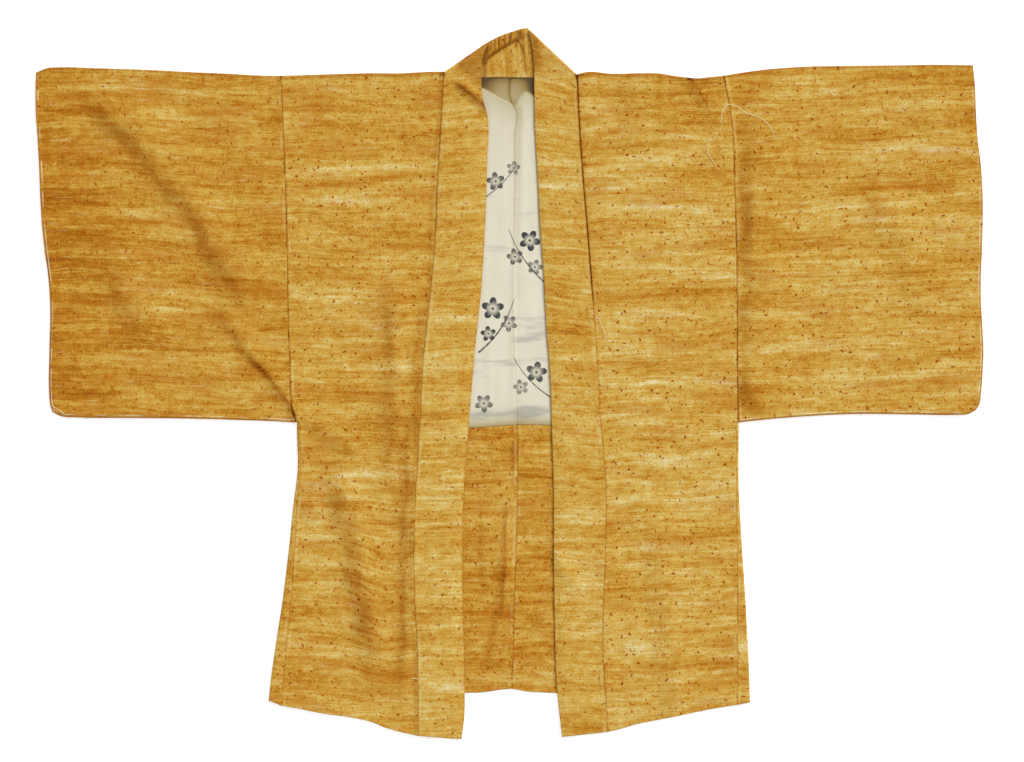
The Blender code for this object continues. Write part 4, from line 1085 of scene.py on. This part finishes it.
# The collar: one band of doubled cloth from hem to hem, folded over beside the neck.
collar = {
    "edge": {
        "right": table(
            "drop out", (-40.5, 33.8), (-17, 40), (10, 41.2), (29, 40.4), (59, 33), (120, 33.6),
            (204, 36.3), (288, 41.3), (372, 49.8), (472, 58.2), (563, 64.9), (645, 67), (744, 65.9),
            (809, 64.3), (875, 64.9), (899.5, 68.2)),
        "left": table(
            "drop out", (-57.5, 23), (-33, 27), (-11, 29.2), (19, 29.8), (77, 30.8), (136, 34.2),
            (204, 37.5), (271, 42.5), (339, 45.9), (405, 51), (472, 53.3), (563, 55.9), (645, 56.2),
            (744, 57.5), (826, 60.1), (896.5, 67.4)),
    },
    "neckFold": {
        "right": table("out drop", (92.7, -1), (33.8, -41.5)),
        "left": table("out drop", (87.6, 2), (23.6, -58.5)),
    },
    "neckTop": table("x drop", (-33.8, -41.5), (-14, -51.5), (4, -57.5), (15, -60.8), (23.6, -61.3)),
    "folds": strokes((-78, 13, -26, 56, 0, 7, 16, 2.6), (54, 636, 90, 700, 0, 14, 14, 1.6)),
    "creases": strokes(
        (-45, -10, 20, -56, 4, 7, 9, 2), (-30, -42, -31, -20, 0, 3, 3, 0.8),
        (-21, -46, -22, -24, 0, 3, 3, 0.8), (-12, -50, -13, -32, 0, 3, 3, 0.7),
        (-2, -54, -3, -40, 0, 3, 3, 0.7), (3, -34, 4, 4, 0, 5, 5, 0.6), (12, -40, 12, 4, 0, 5, 5, 0.6)),
    "creaseShade": strokes((-80, 13, -26, 57, 2, 3, 8, 0.68), (-80, 13, -24, 60, 3, 8, 16, 0.2)),
    "shades": strokes(
        (-46, -9, 14, -49, 2, 2, 4.5, 0.74), (-46, -11, 22, -57, 5, 8, 12, 0.18),
        (-37, -44, -39, -10, 0, 8, 8, 0.42), (-38, -60, -39, 30, 0, 4, 10, 0.36),
        (-37, -60, -38, 34, 0, 4, 5, 0.34), (-28, -47, -29, -28, 0, 1.4, 1.4, 0.55),
        (-22, -50, -23, -34, 0, 1.4, 1.4, 0.5), (-17, -52, -18, -34, 0, 1.4, 1.8, 0.45),
        (-10, -56, -10, -38, 0, 1.6, 1.6, 0.5), (-1, -60, -3, -40, 0, 1.6, 2.6, 0.6),
        (7, -62, 9, -42, 0, 1.6, 1.6, 0.55), (11, -60, 2, -32, 2, 2.4, 3.4, 0.45),
        (7, -46, 16, -26, 1, 2, 3, 0.4), (14, -60, 20, 6, 0, 6, 5, 0.44),
        (-6, -22, -6, 6, 0, 3, 3, 0.24)),
    "columns": 26, "rows": 230, "neckRows": 90, "bendSteps": 12, "width": 58, "length": 900,
    "neckLength": 200, "weftEven": 0.15, "near": (0.15, 0.4, 0.8, 1.2, 1.8, 2.6, 3.8), "bolt": (3, 10),
    "bands": [
        (-70, 336, 27, 7, 0.09), (-95, 536, 26, 9, 0.1), (-95, 578, 26, 11, 0.1),
        (-90, 697, 28, 14, 0.1), (-84, 830, 24, 9, 0.16), (-77, 300, 30, 12, -0.1),
        (-77, 104, 30, 7, -0.07), (65, 151, 33, 8, 0.16), (92, 597, 25, 9, 0.12),
        (92, 688, 24, 16, 0.11), (71, 290, 27, 14, -0.12), (80, 348, 30, 18, -0.15),
        (65, 85, 27, 7, -0.1), (92, 887, 30, 8, -0.14), (-60, 240, 26, 14, -0.07),
        (-80, 388, 26, 10, -0.06)],
}


def neckFoldLine(side):
    # the fold's two ends, set in from its outer edge, and the way it bulges
    line = collar["neckFold"][side]
    ends = np.stack([signOf[side] * line["out"], line["drop"]], axis=-1)
    along = (ends[1] - ends[0]) / np.linalg.norm(ends[1] - ends[0])
    away = np.array([-along[1], along[0]]) * signOf[side]
    return ends - layout["collarFoldInset"] * away, away


def collarFront(side, share):
    # one front of the collar, from the hem up to the fold at the neck, between seam and edge
    fold, away = neckFoldLine(side)
    hemDrop = frontDrops(side, np.array([0.0, 1.0]), bodyLevels(side, 4, 4))[-1, -1]
    climb = 1 - crowded(collar["length"], collar["rows"], both=False)[::-1]
    climb = np.unique(np.concatenate([climb, np.linspace(0.93, 0.998, 46)]))
    seamDrop = between(hemDrop, fold[0, 1], climb)
    edgeDrop = between(collar["edge"][side]["drop"][-1], fold[1, 1], climb)
    seamOut = lineAt(body["collarSeam"][side], seamDrop) - layout["gap"] / 2
    edgeOut = lineAt(collar["edge"][side], edgeDrop)
    seamX, edgeX = signOf[side] * seamOut, signOf[side] * edgeOut
    pull = np.clip((climb - 0.985) / 0.015, 0, 1) ** 2
    seamX = seamX + pull * (fold[0, 0] - seamX[-1])
    edgeX = edgeX + pull * (fold[1, 0] - edgeX[-1])
    x, drop = between(seamX, edgeX, share).T, between(seamDrop, edgeDrop, share).T
    toSeam = np.abs(x - seamX[:, None])
    height = layout["collarFront"] + foldHeight(body["folds"], x, drop)
    height += foldHeight(collar["folds"], x, drop) + 0.15 * ripple(x, drop, 14, 45)
    height += seamDip(toSeam, 0.2 if side == "right" else 1.0, 0.1)
    height -= 0.6 * bell(toSeam, 2.4) * (side == "right")
    height += 0.12 * pucker(drop, toSeam, 27)
    toEdge = np.abs(edgeX[:, None] - x)
    height += 0.12 * pucker(drop, toEdge, 28)
    height -= 1.2 * bell(toEdge, 7) * soft(drop, 30, 90)
    return placed(x, drop, height), x, drop, away


def neckShade(x, drop):
    # the band behind the neck: its crease, gathers and corners
    above = soft((drop + 16) * 0.83 + (x + 40) * 0.56, 2, -8)
    return np.clip(0.10 + 0.16 * above + foldHeight(collar["shades"], x, drop), 0, 0.8)


def shoulderShade(x, drop):
    # the right front: a crease and the shade above it; the left front's inner edge
    across = (x + 78) * 0.63 - (drop - 8) * 0.78
    above = 0.50 * soft(across, 4, 22) * soft(x, -92, -70)
    crease = foldHeight(collar["creaseShade"], x, drop)
    right = (above + crease) * (x < 0)
    left = 0.35 * soft(x, 44, 30) * soft(drop, 20, -20) + 0.22 * soft(drop, 26, -16)
    return np.clip(right + left * (x > 0), 0, 0.9)


def makeCollar():
    # rows along the right front, round the neck and down the left front, as two faces
    wide = collar["width"]
    share = crowded(wide, collar["columns"], near=collar["near"])
    halves = {}
    for side in signOf:
        front, x, drop, away = collarFront(side, share)
        under = front[-1].copy()
        under[:, 2] = layout["collarBack"] * mm
        outward = np.array([away[0], -away[1], 0])
        bend = bendRows(front[-1], under, outward, collar["bendSteps"],
                        layout["collarFoldRadius"])
        halves[side] = (front, x, drop, bend, under)
    right, left = neckFoldLine("right")[0], neckFoldLine("left")[0]
    stations = np.linspace(0, 1, collar["neckRows"] + 1)[1:-1]
    seamX = between(right[0, 0], left[0, 0], stations)
    seamDrop = np.full_like(seamX, body["neckSeam"] - layout["gap"] / 2)
    ease = np.minimum(1, 6 * np.minimum(stations, 1 - stations))
    seamDrop = between(right[0, 1], left[0, 1], stations) * (1 - ease) + seamDrop * ease
    topX = between(right[1, 0], left[1, 0], stations)
    topDrop = lineAt(collar["neckTop"], topX)
    neckX, neckDrop = between(seamX, topX, share).T, between(seamDrop, topDrop, share).T
    neckHeight = layout["collarBack"] + foldHeight(collar["creases"], neckX, neckDrop)
    neck = placed(neckX, neckDrop, neckHeight)
    rightFront, rightX, rightDrop, rightBend, rightUnder = halves["right"]
    leftFront, leftX, leftDrop, leftBend, leftUnder = halves["left"]
    rows = np.concatenate([rightFront, rightBend, [rightUnder], neck, [leftUnder],
                           leftBend[::-1], leftFront[::-1]])
    length = runLength(rows.mean(axis=1))
    run = np.tile(length[:, None], (1, len(share)))
    across = np.tile(share * wide * mm, (len(rows), 1))
    even = collar["weftEven"]
    rightRun = (1 - even) * rightDrop + even * rightDrop[:, :1]
    leftRun = (1 - even) * leftDrop + even * leftDrop[:, :1]
    run[:len(rightFront)] = (collar["length"] - rightRun) * mm
    run[-len(leftFront):] = (collar["length"] + collar["neckLength"] + leftRun[::-1]) * mm
    first, last = len(rightFront) + len(rightBend), len(rows) - len(leftFront) - len(leftBend)
    run[first:last] = 1.0 + rows[first:last, :, 0] * 0.9 + across[first:last] * 0.1
    bands = np.zeros(rows.shape[:2])
    bands[:len(rightFront)] = bandLift(collar["bands"], rightX, rightDrop)
    bands[-len(leftFront):] = bandLift(collar["bands"], leftX, leftDrop)[::-1]
    shade = np.zeros(rows.shape[:2])
    toSeam = np.tile(share * wide, (len(rows), 1))
    shade[:len(rightFront)] = creaseShade(rightX, rightDrop) + shoulderShade(rightX, rightDrop)
    shade[:len(rightFront)] += seamShade("right", toSeam[:len(rightFront)], rightDrop, 0.0)
    leftShade = creaseShade(leftX, leftDrop) + shoulderShade(leftX, leftDrop)
    leftShade += seamShade("left", toSeam[:len(leftFront)], leftDrop, 0.2)
    shade[-len(leftFront):] = leftShade[::-1]
    shade[len(rightFront):first] = shade[len(rightFront) - 1]
    shade[last:-len(leftFront)] = shade[-len(leftFront)]
    shade[first + 1:last - 1] = neckShade(neckX, neckDrop)
    weave = triple(across, run, bands)
    weave[..., :2] += collar["bolt"]
    toEnd = np.minimum(length, length[-1] - length)[:, None] / mm
    toEdge = np.minimum(np.tile((1 - share) * wide, (len(rows), 1)), toEnd)
    marks = triple(toSeam, toEdge, shade)

    # two faces, half the wall times sqrt(1 - (1 - d / r)^2) off the middle at d from a rim
    tangentAlong = np.gradient(rows, axis=0)
    tangentAcross = np.gradient(rows, axis=1)
    normal = np.cross(tangentAcross, tangentAlong)
    normal /= np.linalg.norm(normal, axis=-1, keepdims=True)
    half = layout["collarWall"] / 2
    steep = np.where(np.arange(len(rows)) < len(rightFront), 1.0, 3.0)[:, None]
    toRim = np.minimum(np.minimum(steep * toSeam, wide - toSeam), toEnd)
    thick = half * np.sqrt(1 - (1 - np.clip(toRim / half, 0, 1)) ** 2) * mm
    upper, lower = rows + normal * thick[..., None], rows - normal * thick[..., None]
    faces = [patch(upper, weave, marks, False),
             patch(lower, weave + np.array([0.1, 0, 0]), marks, True)]
    piece = addPiece("collarBand", faces, [cloths["collar"]], weld=True)
    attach(piece, "root")
    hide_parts("collar")
    return piece


# The back lining and the hem facing below it.
lining = {
    "centreSeam": table(
        "drop x", (5, -3.2), (33, -2.6), (40, -0.4), (46, 3.4), (86, 3.6), (170, 3.4), (305, 0.7),
        (472, 7.3), (545, 7.4), (612, 6.5), (710, 3.1), (776, 1.5), (832, -0.8)),
    "end": table("x drop", (-330, 481), (-58, 479.3), (-25, 477), (8, 475.2), (53, 476.3), (330, 481)),
    "neckFold": table(
        "x drop", (-60, 14), (-37, 21.6), (-16, 33.8), (1, 42.4), (4, 43.4), (5, 42.4), (8, 36.5),
        (17.6, 25.7), (28, 29.7), (60, 34)),
    # each pleat's two ends as x and drop, its half width and height
    "pleats": [
        (14, 40, 12, 330, 6, 0.7), (-14, 60, -10, 300, 9, 0.4), (1, 240, 3, 470, 3.5, 0.8),
        (26, 120, 24, 420, 8, 0.4), (-34, 180, -30, 460, 8, 0.4)],
    "columns": 70, "rows": 110, "topRows": 60, "depth": 460,
    # strength and reach of the shadows along the lower and the upper edge
    "lowShadow": 0.66, "lowReach": 11, "topShadow": 0.4, "topReach": 0.5,
}
facing = {
    "columns": 70, "rows": 110, "bolt": {"right": (4, 12), "left": (4.4, 13)},
    "shades": strokes(
        (-8, 570, -15, 745, 2, 8, 2.6, 0.5), (2, 494, 2, 545, 0, 6, 2.5, 0.35),
        (-16, 690, -34, 800, 2, 12, 9, 0.25), (-44, 560, -40, 720, 0, 8, 9, 0.2)),
    "bands": [
        (-36, 508, 27, 8, 0.09), (0, 626, 60, 5, 0.08), (31, 668, 20, 11, 0.09),
        (-30, 821, 45, 7, 0.13), (-16, 675, 14, 12, -0.1), (24, 736, 27, 12, -0.16),
        (-9, 772, 27, 7, -0.09)],
    "folds": strokes(
        (-14, 640, -8, 710, 0, 9, 16, 1.5), (-40, 500, 30, 520, 4, 9, 12, 0.7),
        (10, 560, 60, 575, 3, 9, 12, 0.6), (-60, 610, 0, 600, -3, 9, 12, 0.6),
        (0, 720, 60, 745, 4, 10, 14, 0.8), (-60, 770, 10, 780, 3, 10, 14, 0.7)),
}


def layerPlan(side, top, bottom, rows, columns, extra=0):
    # a layer on the back: x from the centre seam out to the side, drop between two edges,
    # with extra rows in its first tenth
    share = np.linspace(0, 1, columns + 1) ** 1.7
    share = np.concatenate([[0, 0.002, 0.005, 0.009], share[share > 0.012]])
    depth = crowded(lining["depth"], rows)
    if extra:
        depth = np.unique(np.concatenate([depth, np.linspace(0.012, 0.11, extra)]))
    edges = bodyEdge(side, np.array([top(0.0), layout["armpit"], bottom(0.0)]))
    reach = edges.min() - layout["foldInset"]
    guess = signOf[side] * share * reach
    drop = between(top(guess), bottom(guess), depth)
    centre = lineAt(lining["centreSeam"], drop)
    centre = centre + signOf[side] * layout["gap"] / 2
    outer = signOf[side] * (bodyEdge(side, drop) - 2 * layout["foldInset"])
    return centre + (outer - centre) * share, drop, centre


def pleats(x, drop):
    # soft lengthwise pleats: bell curves of the distance from each line, run out at its ends
    lift = np.zeros_like(x)
    for x0, top, x1, low, width, height in lining["pleats"]:
        line = x0 + (x1 - x0) * (drop - top) / (low - top)
        ends = soft(drop, top, top + 20) * soft(drop, low, low - 60)
        lift += height * ends * bell(x - line, width)
    return lift


def neckShadow(x, drop, below):
    # dark above the fold under the neck, more so at the top, in both corners and on the left;
    # below the fold a shadow that thins out downwards; the fold's line is softer on the left
    corners = 0.36 * soft(np.abs(x + 4), 10, 40) + 0.22 * soft(x, 16, 30)
    top = 0.26 * fade(drop - 8, 9)
    softness = 1.2 + 2.4 * soft(x, 4, 12)
    above = (0.54 + corners + top) * soft(below / softness, 1, -1)
    under = (0.12 + 0.26 * fade(np.maximum(below, 0), 17)) * soft(below / softness, -1, 1)
    return above + under * fade(np.maximum(below - 20, 0), 60)


def centreShadeLines(fromSeam, drop):
    # a fine dark line on the centre seam and, below the neck, a wide painted shadow of the pleat
    # 5 mm beside it; both grow weaker down the back
    lines = 0.18 * bell(fromSeam, 1.8)
    lines += 0.16 * bell(fromSeam - 5, 4.5) * soft(drop, 30, 50)
    return lines * (0.3 + 0.7 * soft(drop, 300, 90))


def makeLining(side):
    # from the neck down to the facing, with its pleats and the fold under the neck
    def top(x):
        shoulder = lineAt(body["shoulder"][side], np.abs(x)) + 2 * layout["foldInset"]
        return np.maximum(body["neckSeam"] + layout["gap"] / 2, shoulder)

    def bottom(x):
        return lineAt(lining["end"], x) - layout["gap"] / 2

    x, drop, centre = layerPlan(side, top, bottom, lining["rows"], lining["columns"],
                                lining["topRows"])
    fromSeam = np.abs(x - centre)
    below = drop - lineAt(lining["neckFold"], x)
    height = layout["lining"] + 0.16 * ripple(x, drop, 15, 70) + pleats(x, drop)
    height += 0.9 * soft(below, -0.8, 1.2) * fade(np.maximum(below, 0), 25)
    shade = neckShadow(x, drop, below)
    shade += centreShadeLines(x - centre, drop)
    shade += lining["lowShadow"] * fade(drop[-1:] - drop, lining["lowReach"])
    shade += lining["topShadow"] * fade(drop - drop[:1], lining["topReach"])
    points = placed(x, drop, height)
    weave = triple(x * mm, -drop * mm, 0.0)
    marks = triple(fromSeam, 99.0, np.clip(shade, 0, 1))
    patches = [patch(points, weave, marks, side == "left")]
    patches.append(tuckUnder(points[0], weave[0], marks[0], (0, 1), side == "right"))
    if side == "left":
        patches.append(tuckUnder(points[:, 0], weave[:, 0], marks[:, 0], (-1, 0), False))
    piece = addPiece("lining" + side.capitalize(), patches, [silk], layout["liningWall"])
    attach(piece, "root")
    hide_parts("lining_back" + nodesOf[side])
    return piece


def makeFacing(side):
    # from the lining down to the back hem, with its creases and the fronts' shade
    def top(x):
        return lineAt(lining["end"], x) + layout["gap"] / 2

    def bottom(x):
        return lineAt(body["backHem"][side], np.abs(x)) - layout["gap"]

    x, drop, centre = layerPlan(side, top, bottom, facing["rows"], facing["columns"])
    fromSeam = np.abs(x - centre)
    height = layout["facing"] + 0.22 * ripple(x, drop, 16, 60)
    height += foldHeight(facing["folds"], x, drop)
    height += seamDip(fromSeam, 0.3, 0.4 if side == "right" else 0.1)
    height += seamDip(drop - drop[:1], 0.5, 0.4)
    points = placed(x, drop, height)
    weave = triple(x * mm, -drop * mm, bandLift(facing["bands"], x, drop))
    weave[..., :2] += facing["bolt"][side]
    shade = foldHeight(facing["shades"], x, drop)
    shade += 0.5 * broken(drop, 43) * bell(fromSeam, 0.9)
    for front in signOf:
        under = np.maximum(signOf[front] * x - lineAt(collar["edge"][front], drop), -30)
        shade += (0.30 if front == "left" else 0.14) * fade(np.abs(under), 2.2)
    marks = triple(fromSeam, np.minimum(drop[-1:] - drop, drop - drop[:1] + 0.6), shade)
    piece = addPiece("facing" + side.capitalize(),
                     [patch(points, weave, marks, side == "left")],
                     [cloths["facing"]], layout["clothWall"])
    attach(piece, "root")
    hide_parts("hem_facing" + nodesOf[side])
    return piece


# Loose threads and two short stitches lying on the cloth, and fibres at the edges.
strands = {
    # x and drop of the points each thread passes through
    "threads": [
        [
            (282.2, 72.9), (284.9, 51.3), (292.4, 42.7), (304.4, 45.9), (315.9, 54), (335.5, 60.8),
            (347.5, 71.6), (356.4, 90.5)],
        [(275.4, 85.7), (266, 93.2), (263.7, 108), (270.9, 118.8), (275.4, 125.6)],
        [(97.2, 311.9), (101.2, 311.9), (109.4, 324), (116.1, 330.8), (121.5, 342.9), (128.2, 360.5)],
        [(-136, 817), (-130, 817.6), (-123, 818.2), (-115, 817)],
        [(-622, 448), (-616, 452), (-610, 456), (-603, 460)],
    ],
    "lift": 0.85, "thick": 0.44, "sides": 6, "step": 1.2, "fibres": 150, "fibreLength": (1.2, 3.4),
    "fibreThick": 0.22,
    "fibreBend": 2.5, "fibreSteps": 7, "fibreSides": 5, "fibreLift": 0.5, "fibreSeed": 77,
    "onCollar": 1.4, "spots": 60,
    # the spans that fibres stand on: how far from the armpit and how far out on a sleeve's
    # edges, and the drops or distances out along its end, the side, the hem and the collar
    "sleeveSpan": (6, 600), "endSpan": (20, 440), "sideSpan": (490, 840), "hemSpan": (75, 315),
    "collarSpan": (60, 880),
}
linen, linenSurface, linenShade = newMaterial("threadCream", 0.7, {"Specular IOR Level": 0.2})
twist = linenShade.node("TexCoord", None, None, "Object").scaled((900, 900, 300)).noise(1.0)
linenColour = twist.mixed(seen(248, 234, 192), seen(230, 208, 150))
linenColour.feed(linenSurface, "Base Color")


def tube(path, thick, sides):
    # rings round a path of (x, drop, height), thinning to nothing at both ends
    steps = len(path)
    way = np.gradient(path, axis=0)
    way /= np.linalg.norm(way, axis=1)[:, None]
    beside = np.stack([-way[:, 1], way[:, 0], np.zeros(steps)], axis=-1)
    share = np.linspace(0, 1, steps)
    radius = thick * np.sqrt(np.clip(8 * np.minimum(share, 1 - share), 0, 1))
    turn = np.linspace(0, 2 * math.pi, sides + 1)
    rings = path[:, None] + radius[:, None, None] * (np.cos(turn)[None, :, None] * beside[:, None] +
                                                     np.sin(turn)[None, :, None] * [0, 0, 0.6])
    points = placed(rings[..., 0], rings[..., 1], rings[..., 2])
    return patch(points, 0 * points, 0 * points, False)


def threadPath(knots):
    # a smooth curve through the knots, lying on the cloth
    knots = np.array(knots, dtype=float)
    length = runLength(knots)
    at = np.linspace(0, length[-1], max(6, int(length[-1] / strands["step"])))
    x, drop = curve(length, knots[:, 0], at), curve(length, knots[:, 1], at)
    onCollar = (np.abs(x) < lineAt(body["collarSeam"]["left"], drop)) * strands["onCollar"]
    return np.stack([x, drop, frontHeight(x, drop, 12) + strands["lift"] + onCollar], axis=-1)


def edgeLines():
    # the outlines that fibres stand out from, as x, drop and height along each
    lines, spots = [], strands["spots"]
    for side in signOf:
        sign, high = signOf[side], layout["front"] / 2
        armpit, sleeveEnd = strands["sleeveSpan"]
        outs = np.linspace(sleeve["bottom"][side]["out"][0] + armpit, sleeveEnd, spots)
        lines.append((sign * outs, lineAt(sleeve["bottom"][side], outs), high))
        lines.append((sign * outs, lineAt(sleeve["top"][side], outs), high))
        drops = np.linspace(*strands["endSpan"], spots)
        lines.append((sign * lineAt(sleeve["end"][side], drops), drops, high))
        drops = np.linspace(*strands["sideSpan"], spots)
        lines.append((sign * lineAt(body["sideFold"][side], drops), drops, high))
        outs = np.linspace(*strands["hemSpan"], spots)
        lines.append((sign * outs, lineAt(body["frontHem"][side], outs), layout["front"]))
        drops = np.linspace(*strands["collarSpan"], spots)
        lines.append((sign * lineAt(collar["edge"][side], drops), drops, layout["collarFront"]))
    return lines


def makeStrands():
    # tubes along the threads, and curved fibres at random spots of the outlines
    thread = [tube(threadPath(knots), strands["thick"], strands["sides"])
              for knots in strands["threads"]]
    threadPiece = addPiece("looseThreads", thread, [linen], weld=True)
    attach(threadPiece, "root")

    chance = np.random.default_rng(strands["fibreSeed"])
    steps, most = strands["fibreSteps"], strands["fibreBend"]
    lines, fibres = edgeLines(), []
    for _ in range(strands["fibres"]):
        xs, drops, high = lines[chance.integers(len(lines))]
        at = chance.integers(len(xs))
        angle, bend = chance.uniform(0, 2 * math.pi), chance.uniform(-most, most)
        length = chance.uniform(*strands["fibreLength"])
        turned = angle + bend * np.linspace(-0.5, 0.5, steps)
        x = xs[at] + length * np.cumsum(np.cos(turned)) / steps
        drop = drops[at] + length * np.cumsum(np.sin(turned)) / steps
        path = np.stack([x, drop, np.full(steps, high + strands["fibreLift"])], axis=-1)
        fibres.append(tube(path, strands["fibreThick"], strands["fibreSides"]))
    fibrePiece = addPiece("edgeFibres", fibres, [cloths["facing"]], weld=True)
    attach(fibrePiece, "root")
    return [threadPiece, fibrePiece]


pieces = []
for half in signOf:
    print("cloth of the", half, "half")
    pieces += [makeBody(half), makeSleeve(half), makeGusset(half), makeLining(half),
               makeFacing(half)]
print("collar")
pieces.append(makeCollar())
print("threads")
pieces += makeStrands()


# Floor, light and camera straight above.
studio = {
    "floor": (0.60, 0.60, 0.595, 1.0), "floorShade": (0.57, 0.57, 0.565, 1.0), "floorSize": 30.0,
    "floorGlow": 0.62,                           # the floor is a pane lit from below
    "sky": 0.57, "sun": 2.65, "sunFrom": (0.62, 0.70, 0.80), "sunAngle": 32.0,
    "width": 1.3824, "height": 3.2, "over": (0.0034, 0.0034), "focusHeight": 0.005,
}
print("floor, light and camera")
size = studio["floorSize"] / 2
ground = bpy.data.meshes.new("floor")
ground.from_pydata([(-size, -size, -0.0003), (size, -size, -0.0003), (size, size, -0.0003),
                    (-size, size, -0.0003)], [], [(0, 1, 2, 3)])
floor = linked("floor", ground)
paper, paperSurface, paperShade = newMaterial("paper", 0.9, {"Specular IOR Level": 0.1})
paperNoise = paperShade.node("TexCoord", None, None, "Object").scaled((3, 3, 3)).noise(2.0)
paperColour = paperNoise.mixed(studio["floor"], studio["floorShade"])
paperColour.feed(paperSurface, "Base Color")
paperSurface.inputs["Emission Color"].default_value = (1, 1, 1, 1)
paperSurface.inputs["Emission Strength"].default_value = studio["floorGlow"]
ground.materials.append(paper)

scene = bpy.context.scene
scene.view_settings.view_transform = "Standard"
world = bpy.data.worlds.new("studio")
world.use_nodes = True
world.node_tree.nodes["Background"].inputs["Color"].default_value = (1, 1, 1, 1)
world.node_tree.nodes["Background"].inputs["Strength"].default_value = studio["sky"]
scene.world = world
sunLight = bpy.data.lights.new("key", "SUN")
sunLight.energy, sunLight.angle = studio["sun"], math.radians(studio["sunAngle"])
sun = linked("key", sunLight)
sun.rotation_euler = Vector(studio["sunFrom"]).to_track_quat("Z", "Y").to_euler()
lens = bpy.data.cameras.new("camera")
lens.lens = lens.sensor_width * (studio["height"] - studio["focusHeight"]) / studio["width"]
camera = linked("camera", lens)
camera.location = (*studio["over"], studio["height"])
scene.camera = camera

for piece in pieces:
    print(piece.name, len(piece.data.polygons))
